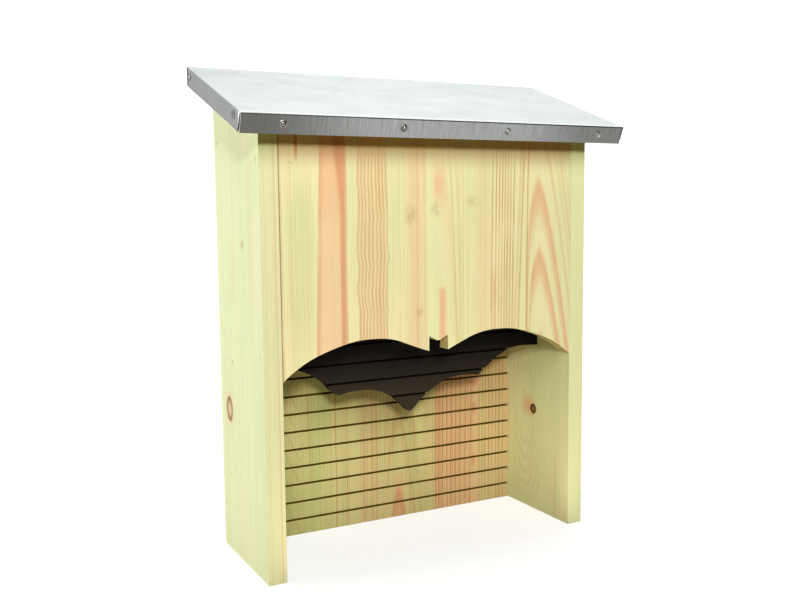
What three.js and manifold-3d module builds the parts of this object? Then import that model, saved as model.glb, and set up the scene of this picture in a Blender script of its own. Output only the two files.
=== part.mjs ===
// A wooden bat box: two sides, a grooved back board, a front board whose lower edge is the upper outline of a
// flying bat, a dark grooved partition whose lower edge is the bat's belly, and a sloping roof board under a
// folded metal sheet. Millimetres, +Z up, the front faces -Y. The origin is the middle of the footprint.
import * as THREE from "three";
import { mergeVertices } from "three/addons/utils/BufferGeometryUtils.js";
import Module from "manifold-3d";

const wasm = await Module();
wasm.setup();

// The box
const boxWidth = 364.4; // over the outer faces of the sides
const boxDepth = 131.4; // from the front edges of the sides to the wall
const sideThickness = 18;
const backThickness = 16;
const frontThickness = 16;
const fitGap = 0.3; // left between neighbouring pieces
const cutOverrun = 12; // how far a cutting body passes the face that it opens

// The front board's lower edge: two wing arches with the head and ears between them
const frontFootHeight = 190.1; // the board's lower corners
const archRise = 33.4; // from those corners to the crest of a wing
const cuspRise = 16.7; // from those corners to the points beside the head
const headWidth = 21.5;
const headOffset = 1.2; // the head sits this far right of the middle
const earRise = 15.2; // ear tips over the cusps
const headRise = 10.2; // the dip between the ears over the cusps
const headDipWidth = 3.4;
// Along half of the board and up the rise of the arch, from the side to the head
const archShares = [
  [1, 0], [0.93, 0.266], [0.84, 0.527], [0.75, 0.707], [0.65, 0.86], [0.55, 0.97],
  [0.45, 1], [0.35, 0.976], [0.26, 0.877], [0.17, 0.704],
];
const archSteps = 26;

// The partition, held in stopped grooves in the sides
const partitionThickness = 9;
const partitionSetback = 58.3; // from the front edges of the sides to its front face
const dadoDepth = 4;
const tailHeight = 134; // the tip of the bat's tail
const bellyRise = 59.2; // from there to the shoulders under the wings
// Across half of the opening and up the rise of the belly: left wing, left belly, right belly, right wing
const bellyShares = [
  [[-1, 0.966], [-0.866, 0.973], [-0.781, 0.939], [-0.708, 0.861], [-0.644, 0.764], [-0.592, 0.65],
    [-0.552, 0.524], [-0.502, 0.426]],
  [[-0.502, 0.426], [-0.445, 0.461], [-0.375, 0.476], [-0.293, 0.468], [-0.232, 0.429], [-0.171, 0.368],
    [-0.119, 0.284], [-0.079, 0.184], [-0.04, 0.078], [-0.007, 0]],
  [[-0.007, 0], [0.021, 0.041], [0.049, 0.122], [0.092, 0.23], [0.134, 0.314], [0.195, 0.412],
    [0.258, 0.497], [0.329, 0.541], [0.406, 0.551], [0.47, 0.539], [0.519, 0.522]],
  [[0.519, 0.522], [0.557, 0.618], [0.598, 0.696], [0.639, 0.787], [0.702, 0.883], [0.763, 0.956],
    [0.836, 0.997], [0.921, 0.995], [1, 0.983]],
];
const bellySteps = 16; // for each of the four stretches

// Level saw grooves that the bats climb, on the fronts of the back board and the partition
const grooveWidth = 2.1;
const grooveDepth = 3.5;
const backGrooveStart = 16.7; // middle of the lowest groove
const backGroovePitch = 19.15;
const partitionGrooveStart = 151.8;
const partitionGroovePitch = 19.5;

// The batten behind the top of the front board
const railDepth = 18;
const railHeight = 48; // at its front face

// The roof: a board under a sheet folded down on all four edges
const roofSideOverhang = 25.3; // past the outer faces of the sides
const roofPitchDegrees = 20;
const roofOverhang = 31.75; // ahead of the front edges of the sides
const roofFrontHeight = 429.7; // the sheet's front top edge
const sheetThickness = 0.8;
const flangeHeight = 17.9; // square to the slope
const cornerGap = 1; // between two flanges at a corner
const deckThickness = 16.5;

// Domed nails through the flanges into the roof board
const roofNail = { headRadius: 2.4, headHeight: 1.2, shankRadius: 0.9, length: 21 };
const domeShares = [[1, 0.25], [0.84, 0.62], [0.52, 0.9]]; // of the head's radius and height
const frontNailDrop = 9; // below the sheet's top face
const sideNailDrop = 7.5;
const frontNailShares = [-0.407, -0.123, 0.154, 0.423]; // of the roof's width, from the middle
const sideNailInset = 20.7; // from the front edge, up the slope
const sideNailBackInset = 12.6; // from the back edge

// Lost-head nails that hold the roof board down on the sides
const deckNail = { headRadius: 2, headHeight: 1.6, shankRadius: 1.25, length: 50 };
const deckNailShares = [0.32, 0.86]; // of the roof's slope, from the front

// Wire staples
const crownWidth = 6;
const wireWidth = 1.2;
const wireThickness = 0.9;
const stapleLength = 25;
const stapleSink = 0.2;
// Through the front board into the batten: along half of the board, down the batten, and the crown's turn
const frontStapleShares = [[-0.924, 0.81, -25], [-0.226, 0.65, -62], [0.333, 0.76, -58]];
// Through the sides: into the front board, from its lower corners up, and the back board, from its foot up
const frontEdgeStapleShares = [0.106, 0.859];
const backEdgeStapleShares = [0.1, 0.5, 0.88];

// Keyhole plates let into the back board, for two screws in the wall
const plateWidth = 18;
const plateHeight = 54;
const plateThickness = 1.5;
const plateInset = 53.9; // its centre from the end of the back board
const plateDrop = 74; // its centre below the top of the back board
const entryRadius = 4.8; // takes the head of the wall screw
const entryDrop = 5; // below the plate's centre
const neckWidth = 4.8; // takes its shank
const neckRise = 8; // the neck's top over the plate's centre
const plateScrewReach = 20; // from the centre to each fixing screw
const pocketWidth = 12.6; // room for the screw's head behind the plate
const pocketHeight = 28;
const pocketDepth = 6;
const plateScrew = { headRadius: 2.9, headHeight: 1.4, shankRadius: 1.4, length: 9 };

const roundSides = 12;
const arcSteps = 8;
const materials = {
  greenPine: new THREE.MeshStandardMaterial({ color: 0xdfe3a8, roughness: 0.7, metalness: 0 }),
  darkPine: new THREE.MeshStandardMaterial({ color: 0x1f1914, roughness: 0.75, metalness: 0 }),
  zinc: new THREE.MeshStandardMaterial({ color: 0xc4c9cb, roughness: 0.45, metalness: 1 }),
  steel: new THREE.MeshStandardMaterial({ color: 0xb4b4b0, roughness: 0.35, metalness: 1 }),
};

// Sizes that follow from those above
const innerWidth = boxWidth - 2 * sideThickness;
const halfBoard = innerWidth / 2 - fitGap;
const roofWidth = boxWidth + 2 * roofSideOverhang;
const pitch = THREE.MathUtils.degToRad(roofPitchDegrees);
const deckTop = -sheetThickness - fitGap; // in the roof's frame, whose z is 0 on the sheet's top face
const deckBottom = deckTop - deckThickness;
const slopeLength = (boxDepth + roofOverhang) / Math.cos(pitch);
const roofFrame = new THREE.Matrix4().makeRotationX(pitch).setPosition(0, -roofOverhang, roofFrontHeight);
const boardTop = roofFrontHeight + slopeLength; // over every board, before the roof's slope trims it

// Height of the boards' trimmed tops at a distance back from the front edges of the sides
function trimHeight(setback) {
  const rise = (setback + roofOverhang) * Math.tan(pitch);
  return roofFrontHeight + rise + (deckBottom - fitGap) / Math.cos(pitch);
}

// A place along the slope whose point at height z in the roof's frame is this far back from its front edge
function alongSlope(back, z) {
  return (back + z * Math.sin(pitch)) / Math.cos(pitch);
}

// Closed three.js geometry to a solid that can be cut and joined, and back to a mesh
function solidFrom(geometry) {
  geometry.deleteAttribute("normal");
  geometry.deleteAttribute("uv");
  const merged = mergeVertices(geometry);
  const position = merged.attributes.position;
  const triVerts = new Uint32Array(merged.index.array);
  return new wasm.Manifold(
    new wasm.Mesh({ numProp: position.itemSize, vertProperties: position.array, triVerts }),
  );
}

function meshFrom(solid, name, material) {
  const { numProp, vertProperties, triVerts } = solid.getMesh();
  const indexed = new THREE.BufferGeometry();
  indexed.setAttribute("position", new THREE.BufferAttribute(vertProperties, numProp));
  indexed.setIndex(new THREE.BufferAttribute(triVerts, 1));
  const geometry = indexed.toNonIndexed();
  geometry.computeVertexNormals();
  const mesh = new THREE.Mesh(geometry, material);
  mesh.name = name;
  return mesh;
}

function moved(solid, matrix) {
  return solid.transform(matrix.elements);
}

function without(solid, cuts) {
  return cuts.reduce((rest, cut) => rest.subtract(cut), solid);
}

function boxSolid(x, y, z) {
  const low = new THREE.Vector3(Math.min(...x), Math.min(...y), Math.min(...z));
  const high = new THREE.Vector3(Math.max(...x), Math.max(...y), Math.max(...z));
  const size = high.clone().sub(low);
  const middle = low.clone().add(high).divideScalar(2);
  const geometry = new THREE.BoxGeometry(size.x, size.y, size.z);
  return solidFrom(geometry.translate(middle.x, middle.y, middle.z));
}

// An upright board from its outline in x and z, with its front face at the given setback
function boardSolid(outline, setback, thickness) {
  const shape = new THREE.Shape(outline);
  const geometry = new THREE.ExtrudeGeometry(shape, { depth: thickness, bevelEnabled: false });
  geometry.rotateX(Math.PI / 2);
  return solidFrom(geometry.translate(0, setback + thickness, 0));
}

// A solid of constant section across the roof, from its outline in the roof's y and z
function acrossRoof(outline, x) {
  const width = Math.abs(x[1] - x[0]);
  const shape = new THREE.Shape(outline);
  const geometry = new THREE.ExtrudeGeometry(shape, { depth: width, bevelEnabled: false });
  geometry.applyMatrix4(
    new THREE.Matrix4().makeBasis(
      new THREE.Vector3(0, 1, 0),
      new THREE.Vector3(0, 0, 1),
      new THREE.Vector3(1, 0, 0),
    ),
  );
  return solidFrom(geometry.translate(Math.min(...x), 0, 0));
}

// A turned solid about z from pairs of radius and height, from its lower end up
function turned(rings) {
  const points = rings.map(([radius, height]) => new THREE.Vector2(radius, height));
  return solidFrom(new THREE.LatheGeometry(points, roundSides).rotateX(Math.PI / 2));
}

// Everything from the underside of the roof board up, which trims the tops of the boards
function roofTrim() {
  const reach = slopeLength + roofWidth;
  const block = boxSolid([-reach, reach], [-reach, reach], [deckBottom - fitGap, reach]);
  return moved(block, roofFrame);
}

// Level grooves in a front face, up to the roof
function grooves(start, groovePitch, setback) {
  const count = Math.floor((trimHeight(setback) - start) / groovePitch);
  const reach = boxWidth / 2;
  return Array.from({ length: count }, (_, k) => {
    const middle = start + k * groovePitch;
    return boxSolid(
      [-reach, reach],
      [setback - cutOverrun, setback + grooveDepth],
      [middle - grooveWidth / 2, middle + grooveWidth / 2],
    );
  });
}

// Fasteners stand on z = 0 of their own frame and go down -z. Their cutters are wider by the gap.
function roofNailSolid() {
  const { headRadius, headHeight, shankRadius, length } = roofNail;
  const dome = domeShares.map(([out, up]) => [out * headRadius, up * headHeight]);
  return turned([
    [0, -length], [shankRadius, shankRadius - length], [shankRadius, 0], [headRadius, 0],
    ...dome, [0, headHeight],
  ]);
}

function roofNailBore() {
  const radius = roofNail.shankRadius + fitGap;
  const depth = roofNail.length + fitGap;
  return turned([[0, -depth], [radius, -depth], [radius, cutOverrun], [0, cutOverrun]]);
}

function deckNailSolid() {
  const { headRadius, headHeight, shankRadius, length } = deckNail;
  return turned([
    [0, -length], [shankRadius, shankRadius - length], [shankRadius, -headHeight],
    [headRadius, -headHeight], [headRadius, 0], [0, 0],
  ]);
}

function deckNailBore() {
  const { headRadius, headHeight, shankRadius, length } = deckNail;
  const seat = -headHeight - fitGap;
  return turned([
    [0, -length - fitGap], [shankRadius + fitGap, -length - fitGap], [shankRadius + fitGap, seat],
    [headRadius + fitGap, seat], [headRadius + fitGap, sheetThickness], [0, sheetThickness],
  ]);
}

function plateScrewSolid() {
  const { headRadius, headHeight, shankRadius, length } = plateScrew;
  return turned([
    [0, -length], [shankRadius, 2 * shankRadius - length], [shankRadius, -headHeight],
    [headRadius, 0], [0, 0],
  ]);
}

function plateScrewBore() {
  const { headRadius, headHeight, shankRadius, length } = plateScrew;
  const wide = shankRadius + fitGap;
  return turned([
    [0, -length - fitGap], [wide, -length - fitGap], [wide, -headHeight],
    [headRadius + fitGap, 0], [headRadius + fitGap, cutOverrun], [0, cutOverrun],
  ]);
}

// A crown with two legs, or with a gap the slots that it is driven into
function stapleSolid(gap, open) {
  const half = crownWidth / 2 + gap;
  const side = wireWidth / 2 + gap;
  const under = -stapleSink - wireThickness - gap;
  const crown = boxSolid([-half, half], [-side, side], [under, open - stapleSink]);
  const legs = [-1, 1].map((way) =>
    boxSolid([way * half, way * (half - wireThickness - 2 * gap)], [-side, side],
      [-stapleLength - gap, open - stapleSink]),
  );
  return crown.add(legs[0]).add(legs[1]);
}

// Frames for pieces that face the front, a side of the box (-1 left, 1 right) and the wall
function facingFront(x, z, turn) {
  return new THREE.Matrix4()
    .makeRotationX(Math.PI / 2)
    .setPosition(x, 0, z)
    .multiply(new THREE.Matrix4().makeRotationZ(turn));
}

function facingSide(side, y, z) {
  return new THREE.Matrix4().makeRotationY((side * Math.PI) / 2).setPosition((side * boxWidth) / 2, y, z);
}

function facingWall(x, z) {
  return new THREE.Matrix4()
    .makeBasis(new THREE.Vector3(-1, 0, 0), new THREE.Vector3(0, 0, 1), new THREE.Vector3(0, 1, 0))
    .setPosition(x, boxDepth, z);
}

// Where each fastener goes, by the frame that it stands in
const railFront = trimHeight(frontThickness + fitGap);
const frontStapleFrames = frontStapleShares.map(([across, down, turn]) =>
  facingFront(across * halfBoard, railFront - down * railHeight, THREE.MathUtils.degToRad(turn)),
);
const frontTop = trimHeight(frontThickness / 2);
const backTop = trimHeight(boxDepth);
const edgeStapleFrames = (side) => [
  ...frontEdgeStapleShares.map((share) =>
    facingSide(side, frontThickness / 2, THREE.MathUtils.lerp(frontFootHeight, frontTop, share)),
  ),
  ...backEdgeStapleShares.map((share) => facingSide(side, boxDepth - backThickness / 2, share * backTop)),
];
const deckNailFrames = (side) =>
  deckNailShares.map((share) =>
    new THREE.Matrix4().makeTranslation(
      (side * (boxWidth - sideThickness)) / 2, share * slopeLength, deckTop - stapleSink,
    ),
  );
const frontNailFrames = frontNailShares.map((share) =>
  new THREE.Matrix4().makeRotationX(Math.PI / 2).setPosition(share * roofWidth, -fitGap, -frontNailDrop),
);
const sideNailFrames = (side) =>
  [sideNailInset, slopeLength - sideNailBackInset].map((y) =>
    new THREE.Matrix4()
      .makeRotationY((side * Math.PI) / 2)
      .setPosition(side * (roofWidth / 2 + fitGap), y, -sideNailDrop),
  );
const plateFrames = [-1, 1].map((side) => facingWall(side * (halfBoard - plateInset), backTop - plateDrop));
const plateScrewFrames = plateFrames.flatMap((frame) =>
  [1, -1].map((way) =>
    frame.clone().multiply(new THREE.Matrix4().makeTranslation(0, way * plateScrewReach, -stapleSink)),
  ),
);

const stapleSlots = (frames) => frames.map((frame) => moved(stapleSolid(fitGap, cutOverrun), frame));

function sideSolid(side) {
  const inner = (side * innerWidth) / 2;
  const board = boxSolid([inner, (side * boxWidth) / 2], [0, boxDepth], [0, boardTop]);
  const shoulder = (side < 0 ? bellyShares[0][0] : bellyShares.at(-1).at(-1))[1];
  const dado = boxSolid(
    [inner + side * dadoDepth, inner - side * cutOverrun],
    [partitionSetback - fitGap, partitionSetback + partitionThickness + fitGap],
    [tailHeight + shoulder * bellyRise - fitGap, boardTop + cutOverrun],
  );
  const nailBores = deckNailFrames(side).map((frame) => moved(moved(deckNailBore(), frame), roofFrame));
  return without(board, [roofTrim(), dado, ...nailBores, ...stapleSlots(edgeStapleFrames(side))]);
}

function backSolid() {
  const front = boxDepth - backThickness;
  const board = boxSolid([-halfBoard, halfBoard], [front, boxDepth], [0, boardTop]);
  const cuts = [roofTrim(), ...grooves(backGrooveStart, backGroovePitch, front)];
  for (const side of [-1, 1]) cuts.push(...stapleSlots(edgeStapleFrames(side)));
  for (const frame of plateFrames) cuts.push(moved(plateRecess(), frame));
  for (const frame of plateScrewFrames) cuts.push(moved(plateScrewBore(), frame));
  return without(board, cuts);
}

// One wing of the front board's lower edge, from the side to the head
function wingEdge(side) {
  const points = archShares.map(
    ([across, up]) => new THREE.Vector2(side * across * halfBoard, frontFootHeight + up * archRise),
  );
  points.push(new THREE.Vector2(headOffset + (side * headWidth) / 2, frontFootHeight + cuspRise));
  return new THREE.SplineCurve(points).getPoints(archSteps);
}

function frontSolid() {
  const cusp = frontFootHeight + cuspRise;
  const head = [
    [-headWidth, earRise], [-headDipWidth, headRise], [headDipWidth, headRise], [headWidth, earRise],
  ].map(([width, rise]) => new THREE.Vector2(headOffset + width / 2, cusp + rise));
  const outline = [
    new THREE.Vector2(-halfBoard, boardTop), ...wingEdge(-1), ...head, ...wingEdge(1).reverse(),
    new THREE.Vector2(halfBoard, boardTop),
  ];
  const cuts = [roofTrim(), ...stapleSlots(frontStapleFrames)];
  for (const side of [-1, 1]) cuts.push(...stapleSlots(edgeStapleFrames(side)));
  return without(boardSolid(outline, 0, frontThickness), cuts);
}

function railSolid() {
  const front = frontThickness + fitGap;
  const bottom = railFront - railHeight;
  const rail = boxSolid([-halfBoard, halfBoard], [front, front + railDepth], [bottom, boardTop]);
  return without(rail, [roofTrim(), ...stapleSlots(frontStapleFrames)]);
}

function partitionSolid() {
  const belly = bellyShares.flatMap((stretch) => {
    const points = stretch.map(
      ([across, up]) => new THREE.Vector2((across * innerWidth) / 2, tailHeight + up * bellyRise),
    );
    return new THREE.SplineCurve(points).getPoints(bellySteps).slice(1);
  });
  const reach = innerWidth / 2 + dadoDepth - fitGap;
  const leftShoulder = tailHeight + bellyShares[0][0][1] * bellyRise;
  const outline = [
    new THREE.Vector2(-reach, boardTop), new THREE.Vector2(-reach, leftShoulder),
    new THREE.Vector2(-innerWidth / 2, leftShoulder), ...belly,
    new THREE.Vector2(reach, belly.at(-1).y), new THREE.Vector2(reach, boardTop),
  ];
  return without(boardSolid(outline, partitionSetback, partitionThickness), [
    roofTrim(), ...grooves(partitionGrooveStart, partitionGroovePitch, partitionSetback),
  ]);
}

// The roof board, with its back cut plumb to sit flat against the wall
function deckSolid() {
  const front = sheetThickness + fitGap;
  const back = boxDepth + roofOverhang - sheetThickness - fitGap;
  const outline = [
    new THREE.Vector2(front, deckBottom), new THREE.Vector2(alongSlope(back, deckBottom), deckBottom),
    new THREE.Vector2(alongSlope(back, deckTop), deckTop), new THREE.Vector2(front, deckTop),
  ];
  const half = roofWidth / 2 - sheetThickness - fitGap;
  const cuts = frontNailFrames.map((frame) => moved(roofNailBore(), frame));
  for (const side of [-1, 1]) {
    cuts.push(...sideNailFrames(side).map((frame) => moved(roofNailBore(), frame)));
    cuts.push(...deckNailFrames(side).map((frame) => moved(deckNailBore(), frame)));
  }
  return without(acrossRoof(outline, [-half, half]), cuts);
}

// The sheet: its top with the front and back folds in one section, and a flange on each side
function coverSolid() {
  const back = boxDepth + roofOverhang;
  const section = [
    [0, 0], [0, -flangeHeight], [sheetThickness, -flangeHeight], [sheetThickness, -sheetThickness],
    [alongSlope(back - sheetThickness, -sheetThickness), -sheetThickness],
    [alongSlope(back - sheetThickness, -flangeHeight), -flangeHeight],
    [alongSlope(back, -flangeHeight), -flangeHeight], [alongSlope(back, 0), 0],
  ].map(([y, z]) => new THREE.Vector2(y, z));
  const inset = sheetThickness + cornerGap;
  const flange = [
    [inset, 0], [inset, -flangeHeight],
    [alongSlope(back - inset, -flangeHeight), -flangeHeight], [alongSlope(back - inset, 0), 0],
  ].map(([y, z]) => new THREE.Vector2(y, z));
  const half = roofWidth / 2;
  let cover = acrossRoof(section, [-half, half]);
  for (const side of [-1, 1]) {
    cover = cover.add(acrossRoof(flange, [side * half, side * (half - sheetThickness)]));
    cover = without(cover, sideNailFrames(side).map((frame) => moved(roofNailBore(), frame)));
  }
  return without(cover, frontNailFrames.map((frame) => moved(roofNailBore(), frame)));
}

// An upright slot shape with round ends, about its centre
function slotShape(width, height) {
  const radius = width / 2;
  const straight = height / 2 - radius;
  const shape = new THREE.Shape();
  shape.absarc(0, straight, radius, 0, Math.PI);
  shape.absarc(0, -straight, radius, Math.PI, 2 * Math.PI);
  return shape;
}

function slotSolid(width, height, bottom, top) {
  const depth = top - bottom;
  const geometry = new THREE.ExtrudeGeometry(slotShape(width, height), {
    depth, bevelEnabled: false, curveSegments: arcSteps,
  });
  return solidFrom(geometry.translate(0, 0, bottom));
}

function plateSolid() {
  const top = -stapleSink;
  const plate = slotSolid(plateWidth, plateHeight, top - plateThickness, top);
  const entry = turned([
    [0, -cutOverrun], [entryRadius, -cutOverrun], [entryRadius, cutOverrun], [0, cutOverrun],
  ]).translate([0, -entryDrop, 0]);
  const neckHeight = neckRise + entryDrop + neckWidth / 2;
  const neck = slotSolid(neckWidth, neckHeight, -cutOverrun, cutOverrun).translate([
    0, neckRise - neckHeight / 2, 0,
  ]);
  const bores = [1, -1].map((way) => plateScrewBore().translate([0, way * plateScrewReach, top]));
  return without(plate, [entry, neck, ...bores]);
}

// The recess for a plate, with the deeper pocket for the head of the wall screw
function plateRecess() {
  const floor = -stapleSink - plateThickness - fitGap;
  const recess = slotSolid(plateWidth + 2 * fitGap, plateHeight + 2 * fitGap, floor, cutOverrun);
  const pocket = slotSolid(pocketWidth, pocketHeight, floor - pocketDepth, cutOverrun);
  return recess.add(pocket);
}

// The whole box, with everything that lies along the roof's slope in a tilted group
const box = new THREE.Group();
box.position.y = (roofOverhang - boxDepth) / 2;
const roof = new THREE.Group();
roof.applyMatrix4(roofFrame);
box.add(roof);

function addAt(group, frames, solid, names, material) {
  frames.forEach((frame, k) => {
    const mesh = meshFrom(solid, names(k), material);
    mesh.applyMatrix4(frame);
    group.add(mesh);
  });
}

for (const [name, side] of [["left", -1], ["right", 1]]) {
  box.add(meshFrom(sideSolid(side), `${name}_side`, materials.greenPine));
  addAt(box, edgeStapleFrames(side), stapleSolid(0, 0), (k) => `${name}_staple_${k + 1}`, materials.steel);
  addAt(roof, sideNailFrames(side), roofNailSolid(), (k) => `${name}_roof_nail_${k + 1}`, materials.steel);
  addAt(roof, deckNailFrames(side), deckNailSolid(), (k) => `${name}_deck_nail_${k + 1}`, materials.steel);
}
box.add(meshFrom(backSolid(), "back_board", materials.greenPine));
box.add(meshFrom(frontSolid(), "front_board", materials.greenPine));
box.add(meshFrom(railSolid(), "front_rail", materials.greenPine));
box.add(meshFrom(partitionSolid(), "partition_board", materials.darkPine));
roof.add(meshFrom(deckSolid(), "roof_board", materials.greenPine));
roof.add(meshFrom(coverSolid(), "roof_cover", materials.zinc));
addAt(roof, frontNailFrames, roofNailSolid(), (k) => `front_roof_nail_${k + 1}`, materials.steel);
addAt(box, frontStapleFrames, stapleSolid(0, 0), (k) => `front_staple_${k + 1}`, materials.steel);
addAt(box, plateFrames, plateSolid(), (k) => `hanger_plate_${k + 1}`, materials.steel);
addAt(box, plateScrewFrames, plateScrewSolid(), (k) => `hanger_screw_${k + 1}`, materials.steel);

export default box;
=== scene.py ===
# A bat box of pale treated pine with a dark partition under a folded zinc roof. Metres, +Z up, front to -Y.
import math
import random
import bmesh
import bpy
from mathutils import Matrix, Vector, noise


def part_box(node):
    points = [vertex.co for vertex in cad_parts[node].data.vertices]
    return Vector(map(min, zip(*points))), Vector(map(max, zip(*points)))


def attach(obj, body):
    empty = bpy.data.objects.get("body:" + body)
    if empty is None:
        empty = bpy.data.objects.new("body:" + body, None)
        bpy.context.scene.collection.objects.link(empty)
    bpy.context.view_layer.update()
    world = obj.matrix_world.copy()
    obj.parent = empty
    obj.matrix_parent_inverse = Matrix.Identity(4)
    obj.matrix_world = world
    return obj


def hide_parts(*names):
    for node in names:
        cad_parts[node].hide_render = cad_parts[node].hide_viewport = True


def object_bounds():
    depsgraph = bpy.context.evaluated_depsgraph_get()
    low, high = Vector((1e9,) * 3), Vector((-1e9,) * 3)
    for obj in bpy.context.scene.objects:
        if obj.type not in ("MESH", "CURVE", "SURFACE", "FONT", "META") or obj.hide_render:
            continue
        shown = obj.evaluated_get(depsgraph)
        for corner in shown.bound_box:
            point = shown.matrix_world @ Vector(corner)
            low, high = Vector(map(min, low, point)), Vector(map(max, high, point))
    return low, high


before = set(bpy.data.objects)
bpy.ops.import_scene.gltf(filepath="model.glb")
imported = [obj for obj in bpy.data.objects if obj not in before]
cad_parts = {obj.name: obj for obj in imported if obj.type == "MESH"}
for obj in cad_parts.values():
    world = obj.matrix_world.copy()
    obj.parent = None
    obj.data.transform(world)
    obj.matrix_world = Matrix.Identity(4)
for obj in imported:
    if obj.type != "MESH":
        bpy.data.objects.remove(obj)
cadLow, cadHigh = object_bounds()
scene = bpy.context.scene
random.seed(7)
mm = 0.001
flush = 0.01 * mm  # points closer than this lie in one plane
weld = 0.001 * mm  # and closer than this are one point
print("frame:", len(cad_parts), "nodes")


# places that the frame gives

sideLow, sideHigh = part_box("left_side")
partLow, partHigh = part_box("partition_board")
coverLow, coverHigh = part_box("roof_cover")
frontY = sideLow.y  # the front edges of the sides
across, outward, upward = Vector((1, 0, 0)), Vector((0, -1, 0)), Vector((0, 0, 1))
roofNails = [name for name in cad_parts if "roof_nail" in name]


def pointsOf(nodeName):
    return [v.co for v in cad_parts[nodeName].data.vertices]


def topPoints(nodeName, axis):
    # the points that lie furthest out along an axis
    far = max(p.dot(axis) for p in pointsOf(nodeName))
    return [p for p in pointsOf(nodeName) if far - p.dot(axis) < flush]


def middleOf(points):
    return sum(points, Vector()) / len(points)


def nailFacing(nodeName):
    if nodeName.startswith("front"):
        return roofTurn.to_3x3() @ outward
    return -across if nodeName.startswith("left") else across


def nailTop(nodeName):
    # the crown of the nail's dome, which lies on its axis
    facing = nailFacing(nodeName)
    return max(pointsOf(nodeName), key=lambda p: p.dot(facing))


frontEdge = max(p.z for p in pointsOf("roof_cover") if p.y < coverLow.y + flush)
roofPitch = math.atan2(coverHigh.z - frontEdge, coverHigh.y - coverLow.y)
roofTurn = Matrix.Rotation(roofPitch, 4, "X")
slopeNormal = roofTurn.to_3x3() @ upward


# camera

view = {
    "place": (-0.46114, -0.842465, 0.35053),
    "yaw": 27.83,  # turned right of straight ahead, degrees
    "pitch": 6.10,  # looking down
    "roll": -0.57,
    "lens": 41.85,
    "sensor": 36,
    "shift": (0.0008, 0.0062),
    "seen": (0.01, 50),  # nearest and furthest
}


def makeCamera():
    data = bpy.data.cameras.new("camera")
    data.lens = view["lens"]
    data.sensor_width = view["sensor"]
    data.shift_x, data.shift_y = view["shift"]
    data.clip_start, data.clip_end = view["seen"]
    camera = bpy.data.objects.new("camera", data)
    yaw, pitch, roll = (math.radians(view[k]) for k in ("yaw", "pitch", "roll"))
    ahead = Vector((math.sin(yaw) * math.cos(pitch), math.cos(yaw) * math.cos(pitch), -math.sin(pitch)))
    right = Vector((math.cos(yaw), -math.sin(yaw), 0))
    top = right.cross(ahead)
    turn = Matrix((right, top, -ahead)).transposed() @ Matrix.Rotation(roll, 3, "Z")
    camera.matrix_world = Matrix.Translation(view["place"]) @ turn.to_4x4()
    scene.collection.objects.link(camera)
    scene.camera = camera


makeCamera()
print("camera in place")


# node helpers

class Wire:
    # a node's output that can stand in a sum with other outputs and plain numbers
    def __init__(self, socket):
        self.socket = socket
        self.tree = socket.id_data

    def __add__(self, other):
        return maths("ADD", self, other)

    def __sub__(self, other):
        return maths("SUBTRACT", self, other)

    def __rsub__(self, other):
        return maths("SUBTRACT", other, self)

    def __mul__(self, other):
        return maths("MULTIPLY", self, other)

    def __truediv__(self, other):
        return maths("DIVIDE", self, other)

    def __rtruediv__(self, other):
        return maths("DIVIDE", other, self)

    def __pow__(self, other):
        return maths("POWER", self, other)

    def __neg__(self):
        return maths("MULTIPLY", self, -1.0)

    def __abs__(self):
        return maths("ABSOLUTE", self)


def addNode(tree, kind, **settings):
    made = tree.nodes.new("ShaderNode" + kind)
    for key, value in settings.items():
        setattr(made, key, value)
    return made


def feed(socket, value):
    # a socket takes either a wire or a plain value
    if isinstance(value, Wire):
        value.tree.links.new(value.socket, socket)
    else:
        socket.default_value = value


def fedNode(kind, values, **settings):
    # a node beside the wires that it takes, in the order of its sockets
    tree = next(value.tree for value in values if isinstance(value, Wire))
    made = addNode(tree, kind, **settings)
    for socket, value in zip(made.inputs, values):
        if value is not None:
            feed(socket, value)
    return [Wire(socket) for socket in made.outputs]


def maths(operation, *values):
    return fedNode("Math", values, operation=operation)[0]


def vectorMaths(operation, *values):
    vector, value = fedNode("VectorMath", values, operation=operation)
    return value if operation in ("LENGTH", "DOT_PRODUCT", "DISTANCE") else vector


def stretched(place, x, y, z):
    return vectorMaths("MULTIPLY", place, (x, y, z))


def parts(vector):
    return fedNode("SeparateXYZ", (vector,))


def joined(x=None, y=None, z=None):
    return fedNode("CombineXYZ", (x, y, z))[0]


def remap(value, low, high, start=0.0, end=1.0, shape="SMOOTHSTEP"):
    return fedNode("MapRange", (value, low, high, start, end), interpolation_type=shape)[0]


def within(value, low, high, soft):
    # 1 between low and high, fading just inside them
    return remap(value - low, 0.0, soft) * remap(high - value, 0.0, soft)


def strongest(values):
    # the largest of several masks, or nothing at all
    result = values[0] if values else 0.0
    for value in values[1:]:
        result = maths("MAXIMUM", result, value)
    return result


def noiseAt(place, scale=1.0, detail=2.0, roughness=0.5):
    made = addNode(place.tree, "TexNoise")
    for name, value in (("Vector", place), ("Scale", scale), ("Detail", detail), ("Roughness", roughness)):
        feed(made.inputs[name], value)
    return Wire(made.outputs["Fac"])


def diceFor(rings, seed):
    # one chance value for each whole ring
    made = addNode(rings.tree, "TexWhiteNoise", noise_dimensions="1D")
    feed(made.inputs["W"], maths("FLOOR", rings) + seed)
    return Wire(made.outputs["Value"])


def blend(amount, first, second):
    values = (amount, None, None, None, None, None, first, second)
    return fedNode("Mix", values, data_type="RGBA")[2]


def ramp(value, stops):
    # stops are (position, tone), tone as a grey
    made = addNode(value.tree, "ValToRGB")
    points = made.color_ramp.elements
    while len(points) < len(stops):
        points.new(0.5)
    for point, (position, tone) in zip(points, stops):
        point.position = position
        point.color = (tone, tone, tone, 1)
    feed(made.inputs["Fac"], value)
    return Wire(made.outputs["Color"])


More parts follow.
